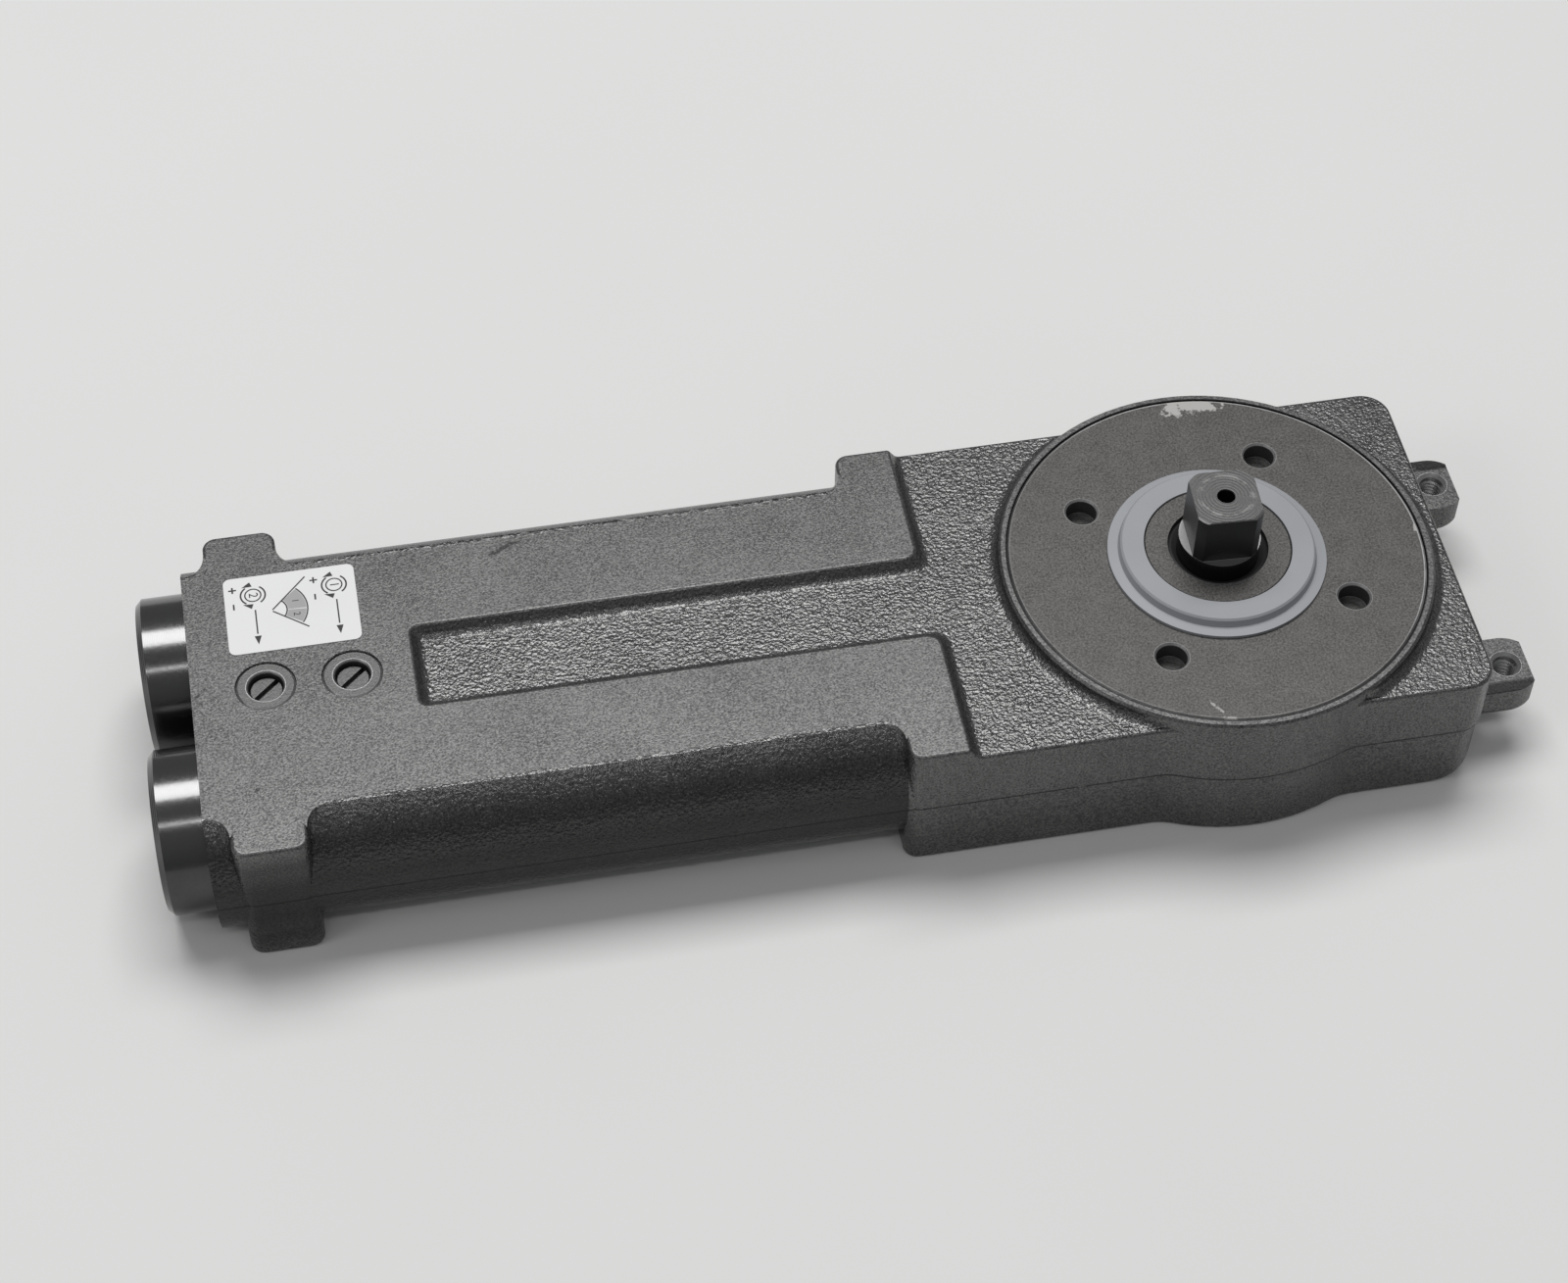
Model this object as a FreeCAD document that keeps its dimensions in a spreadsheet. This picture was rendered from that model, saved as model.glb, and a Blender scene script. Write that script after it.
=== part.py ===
import FreeCAD, Part
import Sketcher
import math
import os
import re

V = FreeCAD.Vector
doc = FreeCAD.newDocument("overhead_door_closer")

# Sizes of the closer in millimetres, measured from the spindle axis and the base face
SIZES = {
    # the casting
    "casting_left": 213,
    "casting_right": 49,
    "body_width": 82.5,
    "land_height": 35,
    "step_depth": 2.5,
    "step_run": 1.8,
    "step_edge": 61.5,
    "bore_spacing": 40,
    "wall_radius": 20.9,
    "ear_outer": 208,
    "ear_inner": 193,
    "ear_start": 73.5,
    "ear_round": 2.8,
    "end_round": 6,
    "end_sweep": 10.5,
    "boss_bulge": 4.25,
    "boss_radius": "=body_width / 2 + boss_bulge",
    "boss_height": 35.5,
    "boss_rim": 0.5,
    "boss_blend": 12,
    "boss_skirt": 2.2,
    "channel_left": 168,
    "channel_width": 21,
    "channel_round": 2.2,
    "step_round": 4,
    "floor_blend": 1.8,
    "land_round": 0.8,
    "foot_round": 1.2,
    "land_tuck": 0.7,
    "parting_ledge": 0.35,
    # the two fixing lugs
    "lug_centre": 57.9,
    "lug_spacing": 51.2,
    "lug_radius": 7,
    "lug_reach": 62.6,
    "lug_top": 17.5,
    "lug_bottom": 8.5,
    "lug_hole": 2.6,
    "lug_countersink": 0.7,
    "lug_round": 3,
    "lug_root": 4,
    # the chamber and the bores
    "bore_radius": 15,
    "cap_thread_radius": 16,
    "cap_thread_length": 9,
    "spring_wall": 66,
    "pocket_left": 52,
    "pocket_half": 31,
    "pocket_round": 4,
    "chamber_radius": 40,
    "chamber_floor": 6,
    "chamber_top": 28,
    "port_radius": 1.5,
    "return_radius": 2,
    "return_height": 11.5,
    # the cover
    "cover_radius": 43.7,
    "cover_seat": 31.5,
    "hub_radius": 15.4,
    "hub_height": 38.2,
    "seal_wall": 2,
    "hub_bore": "=spindle_radius + seal_wall",
    "spanner_radius": 3.25,
    "spanner_depth": 4.5,
    "spanner_circle": 29.8,
    "spanner_angle": 57.2,
    "spanner_floor": 2.2,
    "spanner_point": 0.6,
    "cover_gap": 0.2,
    "cover_groove_foot": 0.8,
    "cover_groove_top": 2.6,
    "cover_groove_depth": 1.3,
    "cover_ring_section": 0.64,
    "cover_bush_wall": 3.5,
    "cover_bush_height": 5.5,
    "ring_flange": 22.8,
    "ring_radius": 20.3,
    "ring_height": 38.4,
    "flange_height": 0.7,
    # the spindle and its bearings
    "spindle_radius": 8.5,
    "spindle_top": 53.6,
    "spindle_break": 0.5,
    "square_foot": 41.5,
    "square_width": 13.6,
    "square_turn": -3,
    "centre_hole": 1.9,
    "centre_depth": 8,
    "journal_radius": 7,
    "bush_wall": 3,
    "bush_foot": 2.5,
    "washer_height": 1,
    # the cam and the roller
    "notch_radius": 11.5,
    "roller_radius": 5.5,
    "cam_lift": 14,
    "opening_angle": 105,
    "flank_angle": 112,
    "cam_foot": 12,
    "cam_height": 11,
    "key_width": 5,
    "key_height": 4,
    "roller_pin_radius": 3,
    "roller_overhang": 0.2,
    # the carriage
    "plate_height": 3,
    "plate_half": 13.3,
    "plate_foot": 8.5,
    "plate_reach": 24.1,
    "plate_shoulder": 10,
    "nose_half": 8,
    "nose_tip": 4,
    "nose_length": 2.6,
    "crosshead_left": 50,
    "crosshead_right": 42,
    "crosshead_half": 29,
    "crosshead_round": 2.5,
    "rod_radius": 4.5,
    "stud_radius": 4,
    "nut_height": 4,
    "nut_radius": 6.2,
    "screw_radius": 1.5,
    "screw_head_radius": 2.8,
    "screw_head_height": 1.8,
    "screw_length": 8,
    "screw_inset": 4.3,
    # the pistons and springs
    "piston_left": 184,
    "piston_length": 20,
    "piston_chamfer": 0.9,
    "ring_groove_depth": 2,
    "ring_groove_start": 8,
    "ring_groove_width": 4,
    "rod_depth": 14,
    "ball_radius": 2,
    "ball_circle": 9,
    "ball_depth": 7,
    "ball_seat": 1.8,
    "spring_wire": 2.25,
    "spring_play": 1.5,
    "spring_mean": "=bore_radius - spring_wire - spring_play",
    "spring_turns": 10.5,
    # the end caps
    "cap_radius": 16.8,
    "cap_length": 10,
    "cap_chamfer": 1.2,
    "cap_nose": 3.8,
    "cap_groove_start": 0.9,
    "cap_groove_depth": 1.4,
    "cap_lip": 1,
    "cap_ring_section": 0.7,
    "socket_radius": 6.35,
    "socket_depth": 5,
    # the two valves
    "closing_valve": 180.5,
    "latching_valve": 198,
    "valve_bush_radius": 6.2,
    "valve_bush_foot": 30,
    "bush_break": 0.6,
    "bush_sink": 0.1,
    "valve_bore": 3.5,
    "valve_bore_foot": 14,
    "valve_tip": 15,
    "tip_radius": 1.2,
    "neck_radius": 2.4,
    "neck_foot": 17.4,
    "neck_top": 19.6,
    "valve_ring_foot": 20.8,
    "valve_ring_top": 22.4,
    "valve_ring_groove": 2.15,
    "valve_ring_section": 0.64,
    "valve_top": 33.4,
    "slot_length": 10,
    "slot_width": 1.1,
    "slot_depth": 1.3,
    "slot_turn": 42,
    # the label
    "label_left": 204.5,
    "label_length": 27,
    "label_near": 8.8,
    "label_width": 20.3,
    "label_round": 1.5,
    "label_height": 0.15,
    # small bevels, and the overrun of cutting tools
    "edge_break": 0.4,
    "fine_break": 0.3,
    "overrun": 1,
    # fits
    "running_clearance": 0.05,
    "seat_clearance": 0.04,
    "thread_clearance": 0.05,
    "roller_clearance": 0.1,
    "side_clearance": 0.4,
    "ring_clearance": 0.03,
    "ball_clearance": 0.1,
}

sheet = doc.addObject("Spreadsheet::Sheet", "Sizes")
for row, (alias, number) in enumerate(SIZES.items(), 1):
    sheet.set(f"A{row}", alias)
    sheet.set(f"B{row}", str(number))
    sheet.setAlias(f"B{row}", alias)
doc.recompute()

WORD = re.compile(r"[a-z_]+")
TINY = 1e-4
parts = {}


def formula(text):
    return WORD.sub(lambda m: f"Sizes.{m[0]}" if m[0] in SIZES else m[0], str(text))


def value(text):
    return float(sheet.evalExpression(formula(text)))


def bind(made, **sizes):
    for name, text in sizes.items():
        place = {"x": "Placement.Base.x", "y": "Placement.Base.y", "z": "Placement.Base.z"}
        made.setExpression(place.get(name, name), formula(text))
    return made


# A box from its low corner and its three lengths
def box(name, corner, lengths):
    made = doc.addObject("Part::Box", name)
    bind(made, Length=lengths[0], Width=lengths[1], Height=lengths[2])
    return bind(made, x=corner[0], y=corner[1], z=corner[2])


TURNS = {
    "z": FreeCAD.Rotation(),
    "x": FreeCAD.Rotation(V(0, 1, 0), 90),
    "y": FreeCAD.Rotation(V(1, 0, 0), -90),
}


# A cylinder from the middle of its foot, along one axis
def cylinder(name, radius, length, foot, axis="z"):
    made = doc.addObject("Part::Cylinder", name)
    made.Placement = FreeCAD.Placement(V(), TURNS[axis])
    bind(made, Radius=radius, Height=length)
    return bind(made, x=foot[0], y=foot[1], z=foot[2])


def cone(name, low, high, length, foot):
    made = doc.addObject("Part::Cone", name)
    bind(made, Radius1=low, Radius2=high, Height=length)
    return bind(made, x=foot[0], y=foot[1], z=foot[2])


def torus(name, ring, section, centre, axis="z"):
    made = doc.addObject("Part::Torus", name)
    made.Placement = FreeCAD.Placement(V(), TURNS[axis])
    bind(made, Radius1=ring, Radius2=section)
    return bind(made, x=centre[0], y=centre[1], z=centre[2])


def joined(name, shapes):
    made = doc.addObject("Part::MultiFuse", name)
    made.Shapes = shapes
    return made


def group(name, shapes):
    made = doc.addObject("Part::Compound", name)
    made.Links = shapes
    return made


def cut(name, base, tools):
    made = doc.addObject("Part::Cut", name)
    made.Base = base
    made.Tool = tools[0] if len(tools) == 1 else joined(f"{name}_tools", tools)
    return made


def common(name, base, tool):
    made = doc.addObject("Part::Common", name)
    made.Base = base
    made.Tool = tool
    return made


# Straight-sided outline: every corner is held by two dimensions taken from the sheet
def outline(sketch, points):
    places = [V(value(u), value(v), 0) for u, v in points]
    count = len(points)
    for i in range(count):
        sketch.addGeometry(Part.LineSegment(places[i], places[(i + 1) % count]), False)
    for i in range(count):
        sketch.addConstraint(Sketcher.Constraint("Coincident", i, 2, (i + 1) % count, 1))
    for i, (u, v) in enumerate(points):
        for kind, text, number in (("DistanceX", u, places[i].x), ("DistanceY", v, places[i].y)):
            at = sketch.addConstraint(Sketcher.Constraint(kind, -1, 1, i, 1, number))
            sketch.setExpression(f"Constraints[{at}]", formula(text))
    return sketch


def body_sketch(body, role, points):
    sketch = body.newObject("Sketcher::SketchObject", f"{body.Name}_outline")
    plane = next(f for f in body.Origin.OriginFeatures if f.Role == role)
    sketch.AttachmentSupport = [(plane, "")]
    sketch.MapMode = "FlatFace"
    return outline(sketch, points)


# A turned piece: half its section as (radius, height) corners, spun about the upright axis
def turned(name, points):
    body = doc.addObject("PartDesign::Body", name)
    sketch = body_sketch(body, "XZ_Plane", points)
    spin = body.newObject("PartDesign::Revolution", f"{name}_spin")
    spin.Profile = sketch
    spin.ReferenceAxis = (sketch, ["V_Axis"])
    spin.Angle = 360
    body.Tip = spin
    return body


# A turned piece laid along X, its section's height running towards the spindle
def turned_along(name, points, x, y, z):
    body = turned(name, points)
    body.Placement = FreeCAD.Placement(V(), TURNS["x"])
    return bind(body, x=x, y=y, z=z)


# A flat piece: its plan outline raised from a given height
def plate(name, points, foot, height):
    body = doc.addObject("PartDesign::Body", name)
    sketch = body_sketch(body, "XY_Plane", points)
    pad = body.newObject("PartDesign::Pad", f"{name}_pad")
    pad.Profile = sketch
    pad.setExpression("Length", formula(height))
    body.Tip = pad
    return bind(body, z=foot)


# Rounds the edges of a body that a test picks
def round_body(body, test, radius):
    doc.recompute()
    tip = body.Tip
    picked = [f"Edge{i}" for i, e in enumerate(tip.Shape.Edges, 1) if test(e)]
    fillet = body.newObject("PartDesign::Fillet", f"{body.Name}_round")
    fillet.Base = (tip, picked)
    fillet.setExpression("Radius", formula(radius))
    body.Tip = fillet
    return body


# Rounds edges of any other shape, each with the radius a rule gives it
def round_shape(name, base, rule):
    doc.recompute()
    made = doc.addObject("Part::Fillet", name)
    made.Base = base
    picked = [(i, rule(e)) for i, e in enumerate(base.Shape.Edges, 1)]
    made.Edges = [(i, r, r) for i, r in picked if r]
    return made


def upright(edge):
    if len(edge.Vertexes) != 2:
        return False
    a, b = (v.Point for v in edge.Vertexes)
    return abs(a.x - b.x) + abs(a.y - b.y) < 1e-6 < abs(a.z - b.z)


def keep(label, made):
    made.Label = label
    parts[label] = made
    return made


AXIS = "land_height / 2"
SIDES = (("near", "-bore_spacing / 2"), ("far", "bore_spacing / 2"))
VALVES = (("closing", "-closing_valve"), ("latching", "-latching_valve"))
LAND_EDGE = "(bore_spacing / 2 + sqrt(wall_radius ^ 2 - land_height ^ 2 / 4) - land_tuck)"
HALF = "body_width / 2"
ROUGH = "land_height - step_depth"


# Plan of the casting: barrels between four corner ears, then the wide spindle end
def plan(inset):
    side = [
        ("-casting_left", LAND_EDGE),
        ("-ear_outer", LAND_EDGE),
        ("-ear_outer", HALF),
        ("-ear_inner", HALF),
        ("-ear_inner", LAND_EDGE),
        ("-ear_start", LAND_EDGE),
        ("-ear_start", HALF),
        (f"casting_right - {inset}", HALF),
    ]
    near = [(u, f"-({v} - {inset})") for u, v in side]
    far = [(u, f"{v} - {inset}") for u, v in reversed(side)]
    return near + far


def rounded_block(name, inset, foot):
    block = plate(name, plan(inset), foot, AXIS)
    right = value(f"casting_right - {inset}")
    left = -value("casting_left - parting_ledge")
    at_end = lambda e: upright(e) and e.CenterOfMass.x > right - TINY
    at_ear = lambda e: upright(e) and left < e.CenterOfMass.x < -value("step_edge")
    round_body(block, at_end, "end_round")
    return round_body(block, at_ear, "ear_round")


# Two barrels, flat above or below
def barrel_pair(name, inset, foot):
    radius = f"wall_radius - {inset}"
    length = "casting_left - ear_start + ear_round"
    tubes = [cylinder(f"{name}_{side}", radius, length, ("-casting_left", y, AXIS), "x") for side, y in SIDES]
    lengths = ("casting_left", "2 * body_width", AXIS)
    slab = box(f"{name}_slab", ("-casting_left", "-body_width", foot), lengths)
    return common(name, joined(f"{name}_tubes", tubes), slab)


# Round boss of the spindle end, with hollow corners where it bulges out of the side walls
def bulge(name, inset, foot):
    radius = f"(boss_radius - {inset})"
    wall = f"({HALF} - {inset})"
    out = f"({wall} + boss_blend)"
    along = f"sqrt(({radius} + boss_blend) ^ 2 - {out} ^ 2)"
    touch = f"{radius} / ({radius} + boss_blend)"
    shapes = [cylinder(f"{name}_round", radius, AXIS, ("0", "0", foot))]
    for side, sign in (("near", "-1"), ("far", "1")):
        corners = [
            (f"-{along}", f"{sign} * {wall}"),
            (f"-{along} * {touch}", f"{sign} * {out} * {touch}"),
            (f"{along} * {touch}", f"{sign} * {out} * {touch}"),
            (along, f"{sign} * {wall}"),
        ]
        fill = plate(f"{name}_{side}_fill", corners, foot, AXIS)
        hollows = []
        for end, turn in (("left", "-1"), ("right", "1")):
            centre = (f"{turn} * {along}", f"{sign} * {out}", foot)
            hollows.append(cylinder(f"{name}_{side}_{end}", "boss_blend", AXIS, centre))
        shapes.append(cut(f"{name}_{side}_corners", fill, hollows))
    return shapes


# The lower half steps in a little at the parting line
halves = []
for name, inset, foot in (("upper", "0", AXIS), ("lower", "parting_ledge", "0")):
    halves.append(rounded_block(f"{name}_half", inset, foot))
    halves.append(barrel_pair(f"{name}_barrels", inset, foot))
    halves += bulge(f"{name}_bulge", inset, foot)
raw = joined("raw_casting", halves)


# The as-cast floor between and beside the smooth lands, with sloping walls
def floor_sketch(name, grow, height):
    sketch = doc.addObject("Sketcher::SketchObject", name)
    bind(sketch, z=height)
    left = f"-(channel_left + {grow})"
    step = f"-(step_edge + {grow})"
    half = f"channel_width / 2 + {grow}"
    points = [
        (left, f"-({half})"),
        (step, f"-({half})"),
        (step, "-body_width"),
        ("2 * casting_right", "-body_width"),
        ("2 * casting_right", "body_width"),
        (step, "body_width"),
        (step, half),
        (left, half),
    ]
    return outline(sketch, points)


floor_loft = doc.addObject("Part::Loft", "floor_loft")
floor_loft.Sections = [
    floor_sketch("floor_low", "-step_run", ROUGH),
    floor_sketch("floor_high", "step_run", "land_height + step_depth"),
]
floor_loft.Solid = True
floor_loft.Ruled = True


# Plan corners of the floor, rounder where the channel opens out
def floor_corner(edge):
    a, b = (v.Point for v in edge.Vertexes)
    if abs(a.z - b.z) < value("step_depth") or abs(a.y) > value(HALF):
        return 0
    return value("channel_round" if a.x < -value("ear_start") else "step_round")


# Foot of the walls round the floor
def floor_foot(edge):
    low = edge.BoundBox.ZMax < value(ROUGH) + TINY
    return value("floor_blend") if low and edge.CenterOfMass.x < -value("boss_radius") else 0


floor_corners = round_shape("floor_corners", floor_loft, floor_corner)
floor_tool = round_shape("floor_tool", floor_corners, floor_foot)

# The spindle end curves under at its foot
SWEEP_START = "(casting_right - end_sweep)"
sweep_corner = (SWEEP_START, "-body_width", "-overrun")
sweep_lengths = ("end_sweep + overrun", "2 * body_width", "end_sweep + overrun")
sweep_blank = box("sweep_blank", sweep_corner, sweep_lengths)
sweep_foot = (SWEEP_START, "-body_width", "end_sweep")
sweep_round = cylinder("sweep_round", "end_sweep", "2 * body_width", sweep_foot, "y")
end_waste = cut("end_waste", sweep_blank, [sweep_round])
stepped = cut("stepped_casting", raw, [floor_tool, end_waste])


# Edges beside the barrels and the end caps stay as they are
def stays_sharp(edge):
    spot = edge.CenterOfMass
    past_ear = spot.x < -value("ear_outer + ear_round / 2")
    on_barrel = -value("ear_inner - ear_round") < spot.x < -value("ear_start + ear_round")
    return past_ear or (on_barrel and abs(spot.y) > value("channel_width"))


# Rims of the lands and of the rough floor
def upper_rim(edge):
    spot = edge.CenterOfMass
    low = edge.BoundBox.ZMin
    land = low > value("land_height") - TINY
    outer = abs(spot.y) > value(HALF) - TINY or spot.x > value("casting_right - end_round")
    floor = outer and low > value(ROUGH) - TINY
    return value("land_round") if (land or floor) and not stays_sharp(edge) else 0


def lower_rim(edge):
    low = edge.BoundBox.ZMax < TINY and edge.BoundBox.XMin < value(SWEEP_START) - TINY
    return value("foot_round") if low and not stays_sharp(edge) else 0


rimmed = round_shape("rimmed_casting", stepped, upper_rim)
footed = round_shape("footed_casting", rimmed, lower_rim)

# Upper part of the boss, which stands above the floor on a small blend
boss = turned("boss", [
    ("0", AXIS),
    ("boss_radius", AXIS),
    ("boss_radius", "boss_height - boss_rim"),
    ("boss_radius - boss_rim", "boss_height"),
    ("0", "boss_height"),
])
skirt = turned("skirt_blank", [
    ("chamber_radius", AXIS),
    ("boss_radius + boss_skirt", AXIS),
    ("boss_radius + boss_skirt", ROUGH),
    ("boss_radius", f"{ROUGH} + boss_skirt"),
    ("chamber_radius", f"{ROUGH} + boss_skirt"),
])
hollow_centre = ("0", "0", f"{ROUGH} + boss_skirt")
skirt_hollow = torus("skirt_hollow", "boss_radius + boss_skirt", "boss_skirt", hollow_centre)
skirt_width = f"2 * ({HALF} - land_round)"
skirt_room = box(
    "skirt_room",
    ("-ear_start", f"-({HALF} - land_round)", AXIS),
    ("ear_start + casting_right - land_round", skirt_width, AXIS),
)
skirt = common("skirt", cut("skirt_ring", skirt, [skirt_hollow]), skirt_room)

# Two lugs with a flat end, tapped upright
lugs = []
lug_holes = []
lug_height = "lug_top - lug_bottom"
for side, y in (("near", "-lug_spacing / 2"), ("far", "lug_spacing / 2")):
    centre = ("lug_centre", y, "lug_bottom")
    lugs.append(cylinder(f"{side}_lug_end", "lug_radius", lug_height, centre))
    corner = ("casting_right - lug_root", f"{y} - lug_radius", "lug_bottom")
    lengths = ("lug_centre - casting_right + lug_root", "2 * lug_radius", lug_height)
    lugs.append(box(f"{side}_lug_root", corner, lengths))
    hole = ("lug_centre", y, "lug_bottom - overrun")
    lug_holes.append(cylinder(f"{side}_lug_hole", "lug_hole", f"{lug_height} + 2 * overrun", hole))
    mouth = ("lug_centre", y, "lug_top - lug_countersink")
    wide = "lug_hole + 2 * lug_countersink"
    lug_holes.append(
        cone(f"{side}_lug_mouth", "lug_hole", wide, "2 * lug_countersink", mouth)
    )
lug_trim = box("lug_trim", ("lug_reach", "-body_width", "0"), ("lug_reach", "2 * body_width", AXIS))
lug_pair = cut("lug_pair", joined("lug_blanks", lugs), [lug_trim])


def lug_round(edge):
    low = value("lug_bottom")
    if edge.BoundBox.ZMax > low + TINY:
        return 0
    return value("lug_round") if edge.CenterOfMass.x > value("casting_right") + TINY else 0


lug_pair = round_shape("lug_rounds", lug_pair, lug_round)
blank = joined("casting_blank", [footed, boss, skirt, lug_pair])

# Bores, chamber, guide holes, valve holes and oil ways
tools = list(lug_holes)
for side, y in SIDES:
    end = ("-casting_left - overrun", y, AXIS)
    length = "casting_left + overrun - spring_wall"
    tools.append(cylinder(f"{side}_bore", "bore_radius", length, end, "x"))
    tools.append(
        cylinder(f"{side}_cap_thread", "cap_thread_radius", "cap_thread_length + overrun", end, "x")
    )
    wall = ("-spring_wall - overrun", y, AXIS)
    guide = "rod_radius + running_clearance"
    tools.append(
        cylinder(f"{side}_guide", guide, "spring_wall - pocket_left + 2 * overrun", wall, "x")
    )
tall = "chamber_top - chamber_floor"
corner = ("-pocket_left", "-pocket_half", "chamber_floor")
pocket = box("crosshead_pocket", corner, ("pocket_left", "2 * pocket_half", tall))
pocket_edge = lambda e: value("pocket_round") if upright(e) and e.CenterOfMass.x < -TINY else 0
tools.append(round_shape("pocket_rounds", pocket, pocket_edge))
tools.append(
    cylinder("chamber", "chamber_radius", "boss_height - chamber_floor", ("0", "0", "chamber_floor"))
)
recess = "cover_radius + cover_gap"
recess_height = "boss_height - cover_seat + overrun"
tools.append(cylinder("cover_recess", recess, recess_height, ("0", "0", "cover_seat")))
bush_outer = "journal_radius + bush_wall + seat_clearance"
bush_height = "chamber_floor - bush_foot + overrun"
tools.append(cylinder("bush_seat", bush_outer, bush_height, ("0", "0", "bush_foot")))
for valve, x in VALVES:
    foot = (x, "0", "valve_bush_foot")
    seat = "valve_bush_radius + seat_clearance"
    tools.append(cylinder(f"{valve}_bush_seat", seat, "land_height - valve_bush_foot + overrun", foot))
    length = "valve_bush_foot - valve_bore_foot + overrun"
    tools.append(cylinder(f"{valve}_bore", "valve_bore", length, (x, "0", "valve_bore_foot")))
    length = "valve_bore_foot + overrun - return_height"
    tools.append(cylinder(f"{valve}_seat", "port_radius", length, (x, "0", "return_height")))
    port = (x, "-bore_spacing / 2 + bore_radius - 2 * overrun", AXIS)
    length = "bore_spacing - 2 * bore_radius + 4 * overrun"
    tools.append(cylinder(f"{valve}_port", "port_radius", length, port, "y"))
return_foot = ("-latching_valve - overrun", "0", "return_height")
return_length = "latching_valve - pocket_left + 2 * overrun"
tools.append(cylinder("return_way", "return_radius", return_length, return_foot, "x"))
keep("body_casting", cut("casting", blank, tools))

# Screwed cover with a hub, four blind spanner holes and a groove for its ring
plug = "chamber_radius - 2 * thread_clearance"
groove_floor = f"{plug} - cover_groove_depth"
groove_foot = "chamber_top + cover_groove_foot"
groove_top = "chamber_top + cover_groove_top"
bush_outside = "spindle_radius + cover_bush_wall"
bush_room = f"{bush_outside} + seat_clearance"
bush_top = "chamber_top + cover_bush_height"
cover_blank = turned("cover_blank", [
    (bush_room, "chamber_top"),
    (plug, "chamber_top"),
    (plug, groove_foot),
    (groove_floor, groove_foot),
    (groove_floor, groove_top),
    (plug, groove_top),
    (plug, "cover_seat"),
    ("cover_radius", "cover_seat"),
    ("cover_radius", "boss_height - edge_break"),
    ("cover_radius - edge_break", "boss_height"),
    ("hub_radius", "boss_height"),
    ("hub_radius", "hub_height - fine_break"),
    ("hub_radius - fine_break", "hub_height"),
    ("hub_bore", "hub_height"),
    ("hub_bore", bush_top),
    (bush_room, bush_top),
])
spanner_holes = []
for i in range(4):
    turn = f"(spanner_angle + {90 * i}) * 1 deg"
    x = f"spanner_circle * cos({turn})"
    y = f"spanner_circle * sin({turn})"
    foot = (x, y, "boss_height - spanner_depth")
    wall = (x, y, "boss_height - spanner_depth + spanner_point")
    mouth = (x, y, "boss_height - edge_break")
    wide = "spanner_radius + 2 * edge_break"
    spanner_holes.append(cone(f"spanner_floor_{i}", "spanner_floor", "spanner_radius", "spanner_point", foot))
    spanner_holes.append(cylinder(f"spanner_wall_{i}", "spanner_radius", "spanner_depth", wall))
    spanner_holes.append(cone(f"spanner_mouth_{i}", "spanner_radius", wide, "2 * edge_break", mouth))
keep("cover_plate", cut("cover", cover_blank, spanner_holes))
ring_middle = ("0", "0", f"({groove_foot} + {groove_top}) / 2")
ring_line = f"(chamber_radius + {groove_floor}) / 2"
keep("cover_o_ring", torus("cover_ring", ring_line, "cover_ring_section", ring_middle))
shaft_room = "spindle_radius + running_clearance"
keep("cover_bush", turned("cover_bush", [
    (shaft_room, "chamber_top"),
    (bush_outside, "chamber_top"),
    (bush_outside, bush_top),
    (shaft_room, bush_top),
]))
keep("shaft_seal", turned("shaft_seal", [
    (shaft_room, bush_top),
    ("hub_bore - seat_clearance", bush_top),
    ("hub_bore - seat_clearance", "hub_height - 3 * edge_break"),
    ("hub_bore - 2 * edge_break", "hub_height - 2 * edge_break"),
    (shaft_room, "hub_height - 4 * edge_break"),
]))
keep("dust_ring", turned("dust_ring", [
    ("hub_radius + seat_clearance", "boss_height"),
    ("ring_flange", "boss_height"),
    ("ring_flange", "boss_height + flange_height"),
    ("ring_radius + edge_break", "boss_height + flange_height + fine_break"),
    ("ring_radius", "ring_height - edge_break"),
    ("ring_radius - edge_break", "ring_height"),
    ("hub_radius + seat_clearance", "ring_height"),
]))

# Spindle: round shaft with a milled square on top
shaft = turned("shaft", [
    ("0", "bush_foot + fine_break"),
    ("journal_radius", "bush_foot + fine_break"),
    ("journal_radius", "chamber_floor + washer_height"),
    ("spindle_radius", "chamber_floor + washer_height"),
    ("spindle_radius", "spindle_top - spindle_break"),
    ("spindle_radius - spindle_break", "spindle_top"),
    ("0", "spindle_top"),
])
flats = []
for i in range(4):
    flat = doc.addObject("Part::Box", f"flat_{i}")
    turn = FreeCAD.Rotation(V(0, 0, 1), value("square_turn") + 90 * i)
    flat.Placement = FreeCAD.Placement(V(), turn)
    height = "spindle_top - square_foot + overrun"
    bind(flat, Length="spindle_radius", Width="4 * spindle_radius", Height=height)
    angle = f"(square_turn + {90 * i}) * 1 deg"
    bind(
        flat,
        x=f"square_width / 2 * cos({angle}) + 2 * spindle_radius * sin({angle})",
        y=f"square_width / 2 * sin({angle}) - 2 * spindle_radius * cos({angle})",
        z="square_foot",
    )
    flats.append(flat)
drill_foot = ("0", "0", "spindle_top - centre_depth")
flats.append(cylinder("centre_drill", "centre_hole", "centre_depth + overrun", drill_foot))
key_corner = ("-spindle_radius - key_height / 2", "-key_width / 2", "cam_foot")
flats.append(box("shaft_keyway", key_corner, ("key_height", "key_width", "cam_height")))
keep("spindle", cut("spindle_piece", shaft, flats))
keep("lower_bush", turned("lower_bush", [
    ("journal_radius + running_clearance", "bush_foot"),
    ("journal_radius + bush_wall", "bush_foot"),
    ("journal_radius + bush_wall", "chamber_floor"),
    ("journal_radius + running_clearance", "chamber_floor"),
]))
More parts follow.
